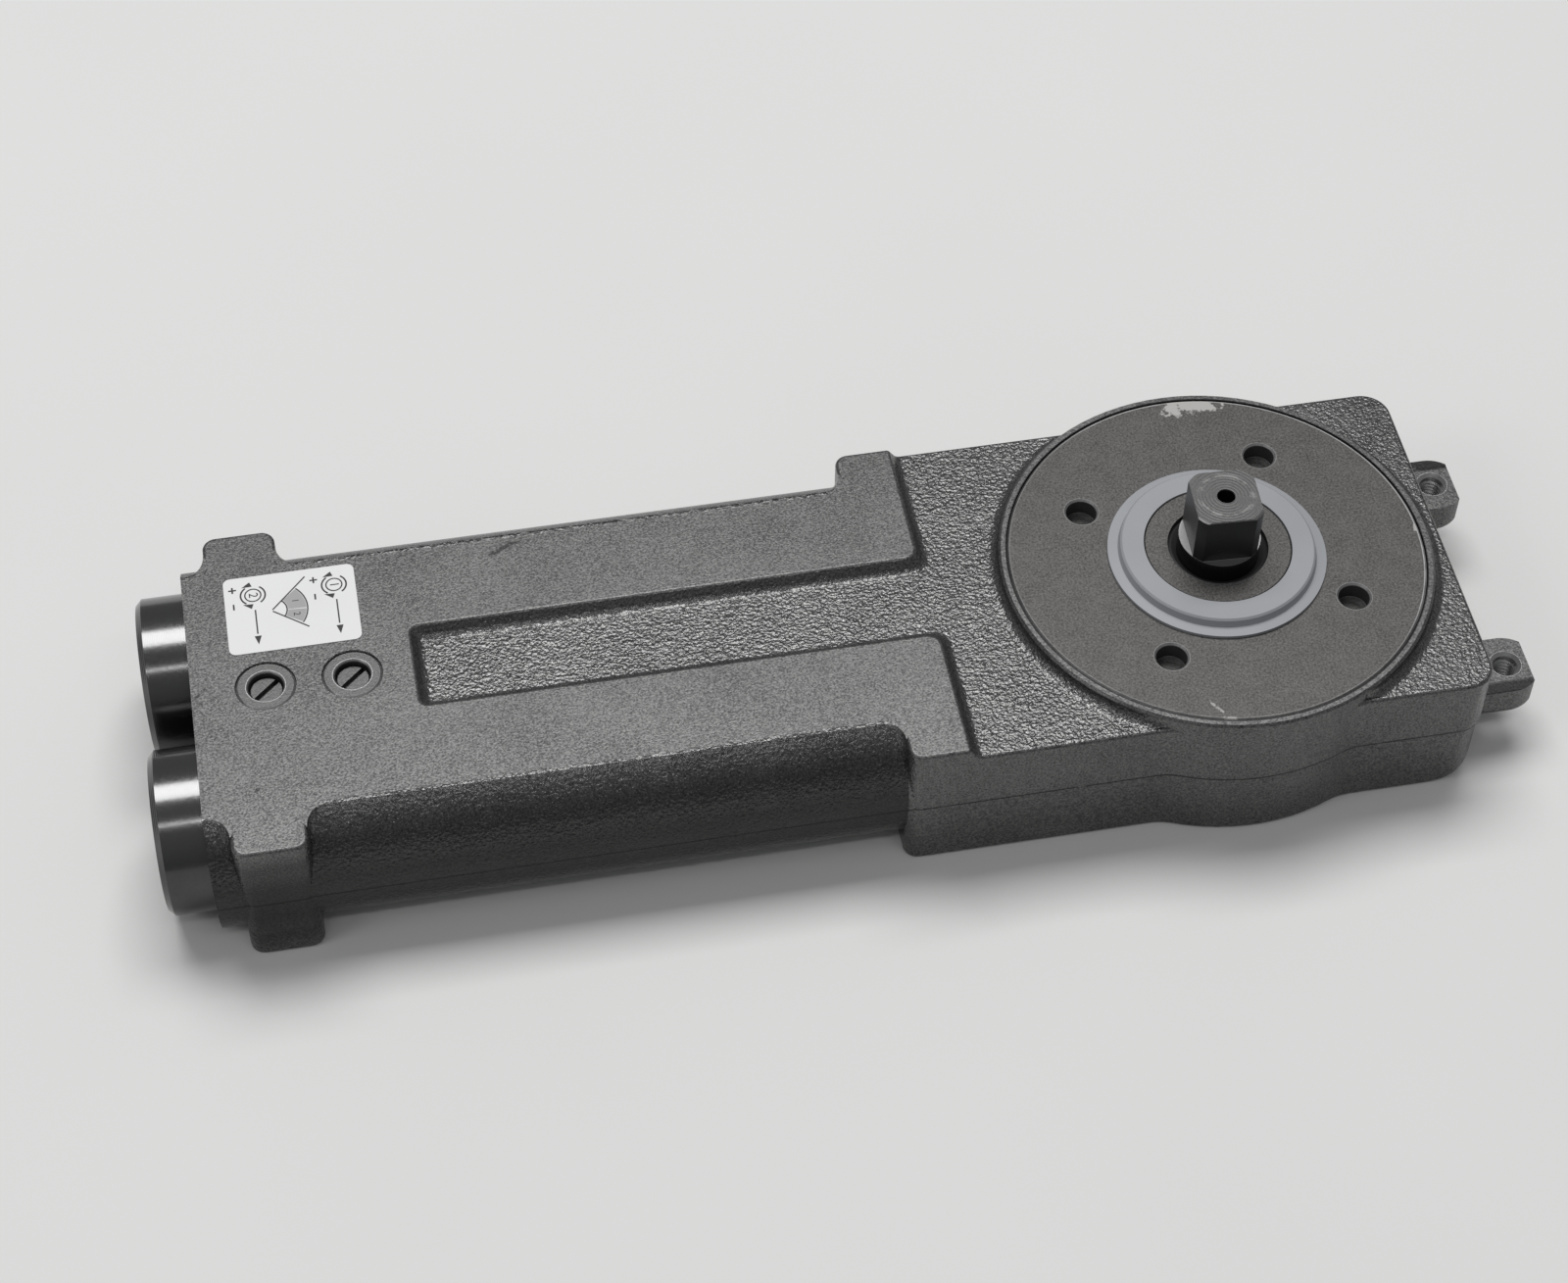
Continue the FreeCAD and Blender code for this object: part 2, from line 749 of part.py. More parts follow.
keep("thrust_washer", turned("thrust_washer", [
    ("journal_radius + running_clearance", "chamber_floor"),
    ("spindle_radius + bush_wall", "chamber_floor"),
    ("spindle_radius + bush_wall", "chamber_floor + washer_height"),
    ("journal_radius + running_clearance", "chamber_floor + washer_height"),
]))

# Heart cam: the roller's centre rises evenly with the turn, either way from the notch
ROLLER_START = "notch_radius + roller_radius + roller_clearance"
FLANK_STEPS = 16


def cam_point(turn):
    start = value(ROLLER_START)
    rate = value("cam_lift / opening_angle") * 180 / math.pi
    gap = value("roller_radius + roller_clearance")
    reach = start + rate * turn
    steep = math.hypot(rate, reach)
    along = rate / steep
    across = reach / steep
    radial = V(math.cos(turn), math.sin(turn), 0)
    sideways = V(-math.sin(turn), math.cos(turn), 0)
    return radial * (reach - gap * across) + sideways * (gap * along)


flank_end = math.radians(value("flank_angle"))
flank = [cam_point(flank_end * i / FLANK_STEPS) for i in range(FLANK_STEPS + 1)]
mirrored = [V(p.x, -p.y, 0) for p in flank]
upper_flank = Part.BSplineCurve()
upper_flank.interpolate(flank)
lower_flank = Part.BSplineCurve()
lower_flank.interpolate(mirrored)
notch_bottom = V(value("notch_radius"), 0, 0)
back = V(-flank[-1].Length, 0, 0)
notch = Part.Arc(mirrored[0], notch_bottom, flank[0])
heel = Part.Arc(flank[-1], back, mirrored[-1])
edges = [c.toShape() for c in (notch, upper_flank, heel, lower_flank)]
cam_face = Part.Face(Part.Wire(Part.__sortEdges__(edges)))
cam_blank = doc.addObject("Part::Feature", "cam_blank")
cam_blank.Shape = cam_face.extrude(V(0, 0, value("cam_height")))
bind(cam_blank, z="cam_foot")
bore_foot = ("0", "0", "cam_foot - overrun")
through = "cam_height + 2 * overrun"
cam_bore = cylinder("cam_bore", "spindle_radius + seat_clearance", through, bore_foot)
slot_wall = "-key_width / 2 - seat_clearance"
cam_slot = box(
    "cam_keyway",
    ("-spindle_radius - key_height / 2 - seat_clearance", slot_wall, "cam_foot - overrun"),
    ("key_height", "key_width + 2 * seat_clearance", through),
)
keep("heart_cam", cut("cam", cam_blank, [cam_bore, cam_slot]))
keep("cam_key", box("cam_key", key_corner, ("key_height", "key_width", "cam_height")))

# Carriage: two slotted plates on a crosshead, with the roller between them
plate_outline = [
    ("-crosshead_left", "-plate_half"),
    ("plate_shoulder", "-plate_half"),
    ("plate_reach - nose_length", "-nose_half"),
    ("plate_reach", "-nose_tip"),
    ("plate_reach", "nose_tip"),
    ("plate_reach - nose_length", "nose_half"),
    ("plate_shoulder", "plate_half"),
    ("-crosshead_left", "plate_half"),
]
slot_half = "spindle_radius + side_clearance"
slot_back = "-cam_lift - side_clearance"
pin_room = "roller_pin_radius + seat_clearance"
crosshead_foot = "plate_foot + plate_height"
crosshead_height = "land_height - 2 * plate_foot - 2 * plate_height"
screw_x = "-(crosshead_left + crosshead_right) / 2"
screw_y = "plate_half - screw_inset"
screws = []
screw_cuts = []
for level, head_foot, shank_foot in (
    ("upper", "land_height - plate_foot - screw_head_height", "land_height - plate_foot - screw_length"),
    ("lower", "plate_foot", "plate_foot"),
):
    foot = "plate_foot" if level == "lower" else "land_height - plate_foot - plate_height"
    blank = plate(f"{level}_blank", plate_outline, foot, "plate_height")
    deep = "plate_height + 2 * overrun"
    under = f"{foot} - overrun"
    holes = [
        cylinder(f"{level}_slot_right", slot_half, deep, ("0", "0", under)),
        cylinder(f"{level}_slot_left", slot_half, deep, (slot_back, "0", under)),
        box(
            f"{level}_slot_middle",
            (slot_back, f"-({slot_half})", under),
            (f"-({slot_back})", f"2 * ({slot_half})", deep),
        ),
        cylinder(f"{level}_pin_hole", pin_room, deep, (ROLLER_START, "0", under)),
    ]
    for side, y in (("near", f"-({screw_y})"), ("far", screw_y)):
        name = f"{level}_{side}"
        shank = cylinder(f"{name}_shank", "screw_radius", "screw_length", (screw_x, y, shank_foot))
        head = cylinder(f"{name}_head", "screw_head_radius", "screw_head_height", (screw_x, y, head_foot))
        screws.append(joined(f"{name}_screw", [shank, head]))
        room = "screw_radius + seat_clearance"
        shank_room = cylinder(f"{name}_shank_room", room, "screw_length", (screw_x, y, shank_foot))
        room = "screw_head_radius + seat_clearance"
        head_room = cylinder(f"{name}_head_room", room, "screw_head_height", (screw_x, y, head_foot))
        holes += [shank_room, head_room]
        screw_cuts.append(shank_room)
    keep(f"{level}_slide_plate", cut(f"{level}_plate", blank, holes))
keep("plate_screws", group("plate_screw_set", screws))

beam = box(
    "crosshead_beam",
    ("-crosshead_left", "-crosshead_half", crosshead_foot),
    ("crosshead_left - crosshead_right", "2 * crosshead_half", crosshead_height),
)
beam = round_shape("crosshead_rounds", beam, lambda e: value("crosshead_round") if upright(e) else 0)
for side, y in SIDES:
    foot = ("-crosshead_left - overrun", y, AXIS)
    length = "crosshead_left - crosshead_right + 2 * overrun"
    screw_cuts.append(cylinder(f"{side}_stud_hole", "stud_radius + seat_clearance", length, foot, "x"))
keep("crosshead", cut("crosshead_piece", beam, screw_cuts))

pin_length = "land_height - 2 * plate_foot"
keep("roller_pin", cylinder("roller_pin", "roller_pin_radius", pin_length, (ROLLER_START, "0", "plate_foot")))
roller_foot = "cam_foot - roller_overhang"
roller_top = "cam_foot + cam_height + roller_overhang"
roller_bore = "roller_pin_radius + running_clearance"
roller = turned("cam_roller", [
    (roller_bore, roller_foot),
    ("roller_radius - edge_break", roller_foot),
    ("roller_radius", f"{roller_foot} + edge_break"),
    ("roller_radius", f"{roller_top} - edge_break"),
    ("roller_radius - edge_break", roller_top),
    (roller_bore, roller_top),
])
keep("cam_roller", bind(roller, x=ROLLER_START))

# Rods, nuts, pistons, rings, check balls and springs of the two cylinders
nuts = []
balls = []
rings = []
piston_radius = "bore_radius - 2 * running_clearance"
groove_radius = f"{piston_radius} - ring_groove_depth"
ring_groove_end = "ring_groove_start + ring_groove_width"
spring_left = "-piston_left + piston_length"
for side, y in SIDES:
    rod_length = "piston_left - piston_length + rod_depth - crosshead_left"
    stud_end = f"{rod_length} + crosshead_left - crosshead_right + nut_height"
    keep(f"{side}_pull_rod", turned_along(f"{side}_pull_rod", [
        ("0", "0"),
        ("rod_radius", "0"),
        ("rod_radius", rod_length),
        ("stud_radius", rod_length),
        ("stud_radius", stud_end),
        ("0", stud_end),
    ], f"-crosshead_left - ({rod_length})", y, AXIS))
    nut = doc.addObject("Part::Prism", f"{side}_nut_blank")
    nut.Polygon = 6
    nut.Placement = FreeCAD.Placement(V(), TURNS["x"])
    bind(nut, Circumradius="nut_radius", Height="nut_height", x="-crosshead_right", y=y, z=AXIS)
    hole = ("-crosshead_right - overrun", y, AXIS)
    length = "nut_height + 2 * overrun"
    nut_hole = cylinder(f"{side}_nut_hole", "stud_radius + seat_clearance", length, hole, "x")
    nuts.append(cut(f"{side}_nut", nut, [nut_hole]))
    piston = turned_along(f"{side}_piston_blank", [
        ("0", "0"),
        (f"{piston_radius} - piston_chamfer", "0"),
        (piston_radius, "piston_chamfer"),
        (piston_radius, "ring_groove_start"),
        (groove_radius, "ring_groove_start"),
        (groove_radius, ring_groove_end),
        (piston_radius, ring_groove_end),
        (piston_radius, "piston_length"),
        ("rod_radius + seat_clearance", "piston_length"),
        ("rod_radius + seat_clearance", "piston_length - rod_depth"),
        ("0", "piston_length - rod_depth"),
    ], "-piston_left", y, AXIS)
    ball_z = f"{AXIS} + ball_circle"
    ball_foot = ("-piston_left - overrun", y, ball_z)
    length = "piston_length + 2 * overrun"
    ball_way = cylinder(f"{side}_ball_way", "ball_radius / 2", length, ball_foot, "x")
    room = "ball_radius + ball_clearance"
    ball_room = cylinder(f"{side}_ball_room", room, "ball_depth + overrun", ball_foot, "x")
    keep(f"{side}_piston", cut(f"{side}_piston_piece", piston, [ball_way, ball_room]))
    ball = doc.addObject("Part::Sphere", f"{side}_ball")
    bind(ball, Radius="ball_radius", x="-piston_left + ball_depth - ball_seat", y=y, z=ball_z)
    balls.append(ball)
    rings.append(turned_along(f"{side}_ring", [
        (f"{groove_radius} + seat_clearance", "ring_groove_start + seat_clearance"),
        ("bore_radius - ring_clearance", "ring_groove_start + seat_clearance"),
        ("bore_radius - ring_clearance", f"{ring_groove_end} - seat_clearance"),
        (f"{groove_radius} + seat_clearance", f"{ring_groove_end} - seat_clearance"),
    ], "-piston_left", y, AXIS))
    wire = value("spring_wire")
    mean = value("spring_mean")
    length = value(f"-spring_wall - ({spring_left})") - 2 * wire
    coil = Part.makeHelix(length / value("spring_turns"), length, mean)
    section = Part.Wire(Part.Circle(V(mean, 0, 0), V(0, 1, 0), wire).toShape())
    spring = doc.addObject("Part::Feature", f"{side}_spring")
    spring.Shape = Part.Wire(coil).makePipeShell([section], True, True)
    spring.Placement = FreeCAD.Placement(V(), TURNS["x"])
    bind(spring, x=f"{spring_left} + spring_wire", y=y, z=AXIS)
    keep(f"{side}_spring", spring)
keep("rod_nuts", group("rod_nut_pair", nuts))
keep("check_balls", group("check_ball_pair", balls))
keep("piston_rings", group("piston_ring_pair", rings))

# End caps with a hexagon socket, each with a ring in the groove of its nose
cap_rings = []
nose = "bore_radius - 2 * thread_clearance"
cap_groove = f"{nose} - cap_groove_depth"
thread = "cap_thread_radius - thread_clearance"
step = "cap_length + cap_thread_length"
for side, y in SIDES:
    left = "-casting_left - cap_length"
    cap = turned_along(f"{side}_cap_blank", [
        ("0", "0"),
        ("cap_radius - cap_chamfer", "0"),
        ("cap_radius", "cap_chamfer"),
        ("cap_radius", "cap_length"),
        (thread, "cap_length"),
        (thread, step),
        (nose, step),
        (nose, f"{step} + cap_groove_start"),
        (cap_groove, f"{step} + cap_groove_start"),
        (cap_groove, f"{step} + cap_nose - cap_lip"),
        (nose, f"{step} + cap_nose - cap_lip"),
        (nose, f"{step} + cap_nose"),
        ("0", f"{step} + cap_nose"),
    ], left, y, AXIS)
    socket = doc.addObject("Part::Prism", f"{side}_socket")
    socket.Polygon = 6
    socket.Placement = FreeCAD.Placement(V(), TURNS["x"])
    bind(socket, Circumradius="socket_radius", Height="socket_depth + overrun")
    bind(socket, x=f"{left} - overrun", y=y, z=AXIS)
    keep(f"{side}_end_cap", cut(f"{side}_cap", cap, [socket]))
    centre = (f"{left} + {step} + (cap_groove_start + cap_nose - cap_lip) / 2", y, AXIS)
    ring = f"{cap_groove} + cap_ring_section + seat_clearance / 2"
    cap_rings.append(torus(f"{side}_cap_ring", ring, "cap_ring_section", centre, "x"))
keep("end_cap_o_rings", group("cap_ring_pair", cap_rings))

# Valve screws with their bushes and rings
for valve, x in VALVES:
    bush_bore = "valve_bore + running_clearance"
    bush_top = "land_height - bush_sink"
    bush = turned(f"{valve}_valve_bush", [
        (bush_bore, "valve_bush_foot"),
        ("valve_bush_radius", "valve_bush_foot"),
        ("valve_bush_radius", f"{bush_top} - bush_break"),
        ("valve_bush_radius - bush_break", bush_top),
        (f"{bush_bore} + edge_break", bush_top),
        (bush_bore, f"{bush_top} - edge_break"),
    ])
    keep(f"{valve}_valve_bush", bind(bush, x=x))
    stem = "valve_bore - running_clearance"
    screw = turned(f"{valve}_screw_blank", [
        ("0", "valve_tip"),
        ("tip_radius", "valve_tip"),
        ("neck_radius", "neck_foot"),
        ("neck_radius", "neck_top"),
        (stem, "neck_top"),
        (stem, "valve_ring_foot"),
        ("valve_ring_groove", "valve_ring_foot"),
        ("valve_ring_groove", "valve_ring_top"),
        (stem, "valve_ring_top"),
        (stem, "valve_top - fine_break"),
        (f"{stem} - fine_break", "valve_top"),
        ("0", "valve_top"),
    ])
    bind(screw, x=x)
    slot = doc.addObject("Part::Box", f"{valve}_slot")
    slot.Placement = FreeCAD.Placement(V(), FreeCAD.Rotation(V(0, 0, 1), value("slot_turn")))
    bind(slot, Length="slot_length", Width="slot_width", Height="slot_depth + overrun")
    turn = "slot_turn * 1 deg"
    bind(
        slot,
        x=f"{x} - slot_length / 2 * cos({turn}) + slot_width / 2 * sin({turn})",
        y=f"-slot_length / 2 * sin({turn}) - slot_width / 2 * cos({turn})",
        z="valve_top - slot_depth",
    )
    keep(f"{valve}_valve_screw", cut(f"{valve}_screw", screw, [slot]))
    centre = (x, "0", "(valve_ring_foot + valve_ring_top) / 2")
    ring = "(valve_ring_groove + valve_bore) / 2"
    keep(f"{valve}_valve_o_ring", torus(f"{valve}_ring", ring, "valve_ring_section", centre))

# Adhesive label on the far land
left = "-label_left"
label_outline = [
    (left, "label_near"),
    (f"{left} + label_length", "label_near"),
    (f"{left} + label_length", "label_near + label_width"),
    (left, "label_near + label_width"),
]
label = plate("valve_label", label_outline, "land_height", "label_height")
keep("valve_label", round_body(label, upright, "label_round"))

doc.recompute()
os.makedirs("parts", exist_ok=True)
for made in doc.Objects:
    if "Invalid" in made.State or "Error" in made.State:
        raise RuntimeError(f"{made.Name} did not build: {made.State}")
for label, made in parts.items():
    if made.Shape.isNull() or not made.Shape.isValid():
        raise RuntimeError(f"{label} is not a sound shape")
    made.Shape.exportStep(f"parts/{label}.step")
print(len(parts), "pieces written")
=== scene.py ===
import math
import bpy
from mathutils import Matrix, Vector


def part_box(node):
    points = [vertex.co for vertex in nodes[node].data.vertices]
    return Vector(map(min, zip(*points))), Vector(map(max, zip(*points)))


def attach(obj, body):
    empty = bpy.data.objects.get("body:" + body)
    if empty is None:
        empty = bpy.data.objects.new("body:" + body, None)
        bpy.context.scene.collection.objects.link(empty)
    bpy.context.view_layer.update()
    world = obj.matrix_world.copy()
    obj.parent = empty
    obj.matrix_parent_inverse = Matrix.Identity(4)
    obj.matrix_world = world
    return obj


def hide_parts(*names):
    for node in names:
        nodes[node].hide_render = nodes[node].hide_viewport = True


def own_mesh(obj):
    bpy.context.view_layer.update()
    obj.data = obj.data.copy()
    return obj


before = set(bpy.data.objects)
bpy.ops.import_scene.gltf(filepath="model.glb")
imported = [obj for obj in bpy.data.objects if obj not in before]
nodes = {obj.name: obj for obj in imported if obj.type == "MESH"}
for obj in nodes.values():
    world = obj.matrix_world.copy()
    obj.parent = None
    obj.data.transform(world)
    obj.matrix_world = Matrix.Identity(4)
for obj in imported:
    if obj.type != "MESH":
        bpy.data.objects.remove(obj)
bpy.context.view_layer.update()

# %% [markdown]
# # An overhead door closer
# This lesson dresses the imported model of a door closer: a painted casting with two barrels, a round
# screwed cover, a square spindle, black end caps and two small speed valves. The shapes of the
# metal pieces are right already, so most of the work is finishes, plus the few pieces that are too
# fine for the model: printed marks, screw threads, hollow corners and coil springs.

MM = 0.001
bpy.ops.object.select_all(action="DESELECT")

# %% [markdown]
# ## Camera
# A camera is a place, a direction and a focal length. These were found by fitting the outlines of
# the casting to its known width, so the object fills the picture as it does in the photograph.

# %% Camera
LENS_MM = 75.44
SENSOR_MM = 36
CAMERA_PLACE = Vector((-0.1734556, -0.4199392, 0.5571074))
CAMERA_FORWARD = Vector((0.1199205, 0.6158537, -0.7786805))
CAMERA_UP = Vector((0.1361104, 0.7667355, 0.6273681))

bpy.ops.object.camera_add()
camera = bpy.context.object
camera.data.sensor_width = SENSOR_MM
camera.data.lens = LENS_MM
right = CAMERA_FORWARD.cross(CAMERA_UP).normalized()
turn = Matrix((right, CAMERA_UP.normalized(), -CAMERA_FORWARD.normalized())).transposed()
camera.matrix_world = Matrix.Translation(CAMERA_PLACE) @ turn.to_4x4()
camera.data.clip_start = 0.01
bpy.context.scene.camera = camera
print("camera at", [round(c, 3) for c in camera.location])

# %% [markdown]
# ## Shader helper
# A material is a graph of nodes. Writing every node by hand hides the idea, so one small class
# wraps a socket and turns Python arithmetic into Math nodes, and one method adds any other node.


# %% Shader helper
class Value:
    def __init__(self, finish, socket):
        self.finish = finish
        self.socket = socket

    def math(self, operation, *others):
        inputs = {i: v for i, v in enumerate((self, *others))}
        return self.finish.node("ShaderNodeMath", {"operation": operation}, inputs)

    def __add__(self, other):
        return self.math("ADD", other)

    __radd__ = __add__

    def __sub__(self, other):
        return self.math("SUBTRACT", other)

    def __rsub__(self, other):
        return self.finish.node("ShaderNodeMath", {"operation": "SUBTRACT"}, {0: other, 1: self})

    def __mul__(self, other):
        return self.math("MULTIPLY", other)

    __rmul__ = __mul__

    def __truediv__(self, other):
        return self.math("DIVIDE", other)

    def __abs__(self):
        return self.math("ABSOLUTE")

    def above(self, level, soft):
        """0 below level, 1 above it, with a soft step of that width."""
        limits = {"Value": self, "From Min": level - soft / 2, "From Max": level + soft / 2}
        return self.finish.node("ShaderNodeMapRange", {"interpolation_type": "SMOOTHSTEP"}, limits)

    def below(self, level, soft):
        """1 below level, 0 above it."""
        return 1 - self.above(level, soft)

    def clamp(self):
        return self.math("MINIMUM", 1.0).math("MAXIMUM", 0.0)


def length(*sides):
    """Length of a vector whose sides are values."""
    total = sum((side * side for side in sides[1:]), sides[0] * sides[0])
    return total.math("SQRT")


# %% [markdown]
# A finish is one material. Its methods add the nodes that these pieces need: coordinates, noise,
# cells, a mix of two colours and relief. It reads Object coordinates, so a pattern stays with its
# piece.


# %% Finish
class Finish:
    def __init__(self, name, **constants):
        self.material = bpy.data.materials.new(name)
        self.material.use_nodes = True
        self.tree = self.material.node_tree
        self.shader = self.tree.nodes["Principled BSDF"]
        for socket, number in constants.items():
            self.set(socket.replace("_", " "), number)
        self.point = self.node("ShaderNodeTexCoord", output="Object")

    def set(self, socket, number):
        if isinstance(number, Value):
            self.tree.links.new(number.socket, self.shader.inputs[socket])
        else:
            self.shader.inputs[socket].default_value = number
        return self

    def node(self, kind, settings=None, inputs=None, output=0):
        made = self.tree.nodes.new(kind)
        for name, setting in (settings or {}).items():
            setattr(made, name, setting)
        for name, number in (inputs or {}).items():
            if isinstance(number, Value):
                self.tree.links.new(number.socket, made.inputs[name])
            else:
                made.inputs[name].default_value = number
        return Value(self, made.outputs[output])

    def axes(self):
        """The three coordinates of a point of the piece."""
        return [self.node("ShaderNodeSeparateXYZ", {}, {"Vector": self.point}, axis) for axis in "XYZ"]

    def noise(self, grain, detail=2.0, rough=0.5):
        """Noise whose blobs are about grain metres wide."""
        inputs = {"Vector": self.point, "Scale": 1 / grain, "Detail": detail, "Roughness": rough}
        return self.node("ShaderNodeTexNoise", {}, inputs)

    def cells(self, grain, feature="F1"):
        """Distance to the nearest of scattered points that lie about grain metres apart."""
        inputs = {"Vector": self.point, "Scale": 1 / grain}
        return self.node("ShaderNodeTexVoronoi", {"feature": feature}, inputs)

    def mix(self, factor, low, high):
        """A colour between low and high."""
        made = self.tree.nodes.new("ShaderNodeMix")
        made.data_type = "RGBA"
        for place, number in ((0, factor), (6, low), (7, high)):
            if isinstance(number, Value):
                self.tree.links.new(number.socket, made.inputs[place])
            else:
                made.inputs[place].default_value = number
        return Value(self, made.outputs[2])

    def bump(self, height, depth, strength=1.0):
        """Relief: a height of 1 stands depth metres tall."""
        inputs = {"Height": height, "Distance": depth, "Strength": strength}
        return self.set("Normal", self.node("ShaderNodeBump", {}, inputs))


# %% [markdown]
# Three small tools complete the set: a grey, a thin straight mark such as a scratch, and a function
# that puts a finish on pieces of the model.


# %% Small tools
def grey(level, warm=0.0):
    """A grey, turned a little towards red by warm."""
    return (level * (1 + warm), level, level * (1 - warm), 1)


def streak(along, across, start, end, width):
    """1 on a thin straight mark between two places of the plan, 0 away from it."""
    run = (end[0] - start[0], end[1] - start[1])
    size = run[0] ** 2 + run[1] ** 2
    part = (((along - start[0]) * run[0] + (across - start[1]) * run[1]) / size).clamp()
    off = length(along - start[0] - part * run[0], across - start[1] - part * run[1])
    return off.below(width, 0.8 * width)


def dress(finish, *names):
    """Puts a finish on pieces of the model."""
    for name in names:
        mesh = nodes[name].data
        mesh.materials.clear()
        mesh.materials.append(finish.material)
    print(finish.material.name, "on", ", ".join(names))


# %% [markdown]
# ## Paint of the casting
# The casting is sprayed a dark metallic grey. The flat lands, the sides and the underside are
# smooth with a fine grain. The floor between the barrels, the plane round the cover and the barrels
# themselves keep the skin of the sand mould, which glitters with small bumps. The place of a point
# tells which is which, so a few soft steps make the mask, and small cells with a little noise make
# the bumps. The skin rolls a little over the long edges of the lands. The lower flanks of barrels
# and ears and the far edge of the far barrel are painted darker as painted shade, the parting line
# and the joint round the cover are painted dark as painted shade in the step and the gap, a few
# smears of dirt mark the lands, and the tapped lugs are painted pale at their mouths, bare steel
# with a painted highlight.

# %% Places on the casting
HALF_HEIGHT = 17.5 * MM
LAND_TOP = 2 * HALF_HEIGHT
SMOOTH_FROM = 17.25 * MM
SIDE_WIDTH = 40.75 * MM
BARREL_END = -73.45 * MM
EAR_MIDDLE = -200.5 * MM
EAR_HALF = 7.45 * MM
CORNER_SIZE = 3 * MM
LUG_X = 57.9 * MM
LUG_Y = 25.6 * MM
LUG_MOUTH = 3.4 * MM
LAND_EDGE = 30.8 * MM
COVER_JOINT = 43.8 * MM
END_FACE = 48.9 * MM
CRISP = 0.2 * MM
PEBBLE = 0.95 * MM
FLAKE = 0.42 * MM
SMEARS = [
    ((-149 * MM, 26.4 * MM), (-144.8 * MM, 28.7 * MM), 0.55 * MM),
    ((-144.8 * MM, 28.7 * MM), (-140.9 * MM, 29.1 * MM), 0.4 * MM),
    ((-212.6 * MM, -1.3 * MM), (-209.3 * MM, 2.1 * MM), 0.25 * MM),
    ((-202 * MM, -26.1 * MM), (-201.6 * MM, -25.5 * MM), 0.4 * MM),
]

paint = Finish("casting_paint", Metallic=0.72)
along, across, up = paint.axes()
level = abs(up - HALF_HEIGHT)
from_ear = abs(along - EAR_MIDDLE)
left_part = along.below(BARREL_END, CRISP)
barrel = left_part * from_ear.above(EAR_HALF, CRISP)
skin = (abs(across).below(SIDE_WIDTH, CRISP) + barrel).clamp()
rolled = abs(across).above(LAND_EDGE, 1.2 * MM) * along.below(BARREL_END - CORNER_SIZE, 1 * MM)
rolled = rolled * from_ear.above(EAR_HALF + CORNER_SIZE, 1 * MM)
as_cast = (level.below(SMOOTH_FROM, 0.3 * MM) + rolled).clamp()
as_cast = as_cast * skin * along.below(END_FACE, 0.3 * MM)
# Painted shade: a near-black ring on the casting round the cover, standing in for shade in the gap.
joint = abs(length(along, across) - COVER_JOINT).below(0.28 * MM, 0.12 * MM)
calm = 1 - 0.4 * along.above(5 * MM, 40 * MM)
bare_and_highlight = length(along - LUG_X, abs(across) - LUG_Y).below(LUG_MOUTH, CRISP)
broken = paint.noise(1.1 * MM, 3.0, 0.6)
# Painted shade: a dark line along the parting line, standing in for shade under its step; it is also a
# shallow groove in the relief.
seam = level.below(0.34 * MM, 0.2 * MM) * paint.noise(5 * MM, 2.0).above(0.34, 0.16)
seam = seam * abs(across).above(30 * MM, 1 * MM)
smears = sum((streak(along, across, *mark) for mark in SMEARS), 0 * along)
smears = (smears * broken.above(0.47, 0.15) * up.above(LAND_TOP - 1 * MM, 0.5 * MM)).clamp()
print(len(paint.tree.nodes), "nodes tell the places apart")

# %% [markdown]
# These places now drive the paint. Cells and sand lift the as-cast skin, flakes give the metallic
# grain, dirt darkens the smears, and painted shade darkens the seam, the joint and the flanks.

# %% Paint of the casting
pebble = paint.cells(PEBBLE, "SMOOTH_F1")
sand = paint.noise(0.62 * PEBBLE, 1.0)
flake = paint.noise(FLAKE, 1.0, 0.6)
cloud = paint.noise(16 * MM, 3.0)
bumps = 0.3 * (pebble - 0.3) + 0.42 * (sand - 0.5)
paint.bump(as_cast * calm * bumps + 0.1 * flake - 0.35 * seam, 0.45 * MM)
tone = (2.4 * flake + 0.5 * cloud - 0.95).clamp()
shade = paint.mix(tone, grey(0.055), grey(0.18, 0.01))
# Painted shade: the lower flanks of the barrels and ears, and the far edge of the far barrel, are
# painted darker.
flank = abs(across).above(33 * MM, 6 * MM) * level.below(14 * MM, 6 * MM)
flank = flank * left_part * (0.6 + 0.22 * level.below(7 * MM, 6 * MM))
far_edge = across.above(30.9 * MM, 0.8 * MM) * left_part * (0.5 + cloud)
painted_side_shade = flank.math("MAXIMUM", 0.75 * as_cast * far_edge)
dark = (0.85 * seam + 0.9 * joint + 0.7 * smears + painted_side_shade).clamp()
# The mouths of the lugs are painted pale: bare steel, with a painted highlight in the countersink.
shade = paint.mix(0.8 * bare_and_highlight, shade, grey(0.4))
paint.set("Base Color", paint.mix(dark, shade, grey(0.012)))
paint.set("Roughness", (0.36 + 0.06 * cloud - 0.14 * as_cast).clamp())
dress(paint, "body_casting")

# %% [markdown]
# ## Cover
# The cover is bare steel gone dark, with a faint mottle. Its rim and the mouths of the spanner
# holes are painted bright as painted highlights, the rim most towards the far right, and the holes
# are painted dark inside as painted shade. A patch at the far rim is worn to a pale dull grey, and
# two scratches and a nick mark the plate. Distances from the axis and from the four holes place the
# painted highlights, and noise breaks the patch up.

# %% Cover
COVER_RADIUS = 43.7 * MM
HOLE_CIRCLE = 29.8 * MM
HOLE_ANGLE = math.radians(57.2)
HOLE_RADIUS = 3.25 * MM
COVER_TOP = 35.5 * MM
RUBBED_PLACE = (6.1 * MM, 42.0 * MM)
RUBBED_HALF = (6.8 * MM, 2.4 * MM)
SCRATCHES = [
    ((-11.6 * MM, -37.6 * MM), (-9.7 * MM, -40.6 * MM), 0.3 * MM),
    ((-9.7 * MM, -42.1 * MM), (-7.6 * MM, -42.6 * MM), 0.3 * MM),
    ((42.9 * MM, -0.9 * MM), (43.2 * MM, 0.4 * MM), 0.35 * MM),
]

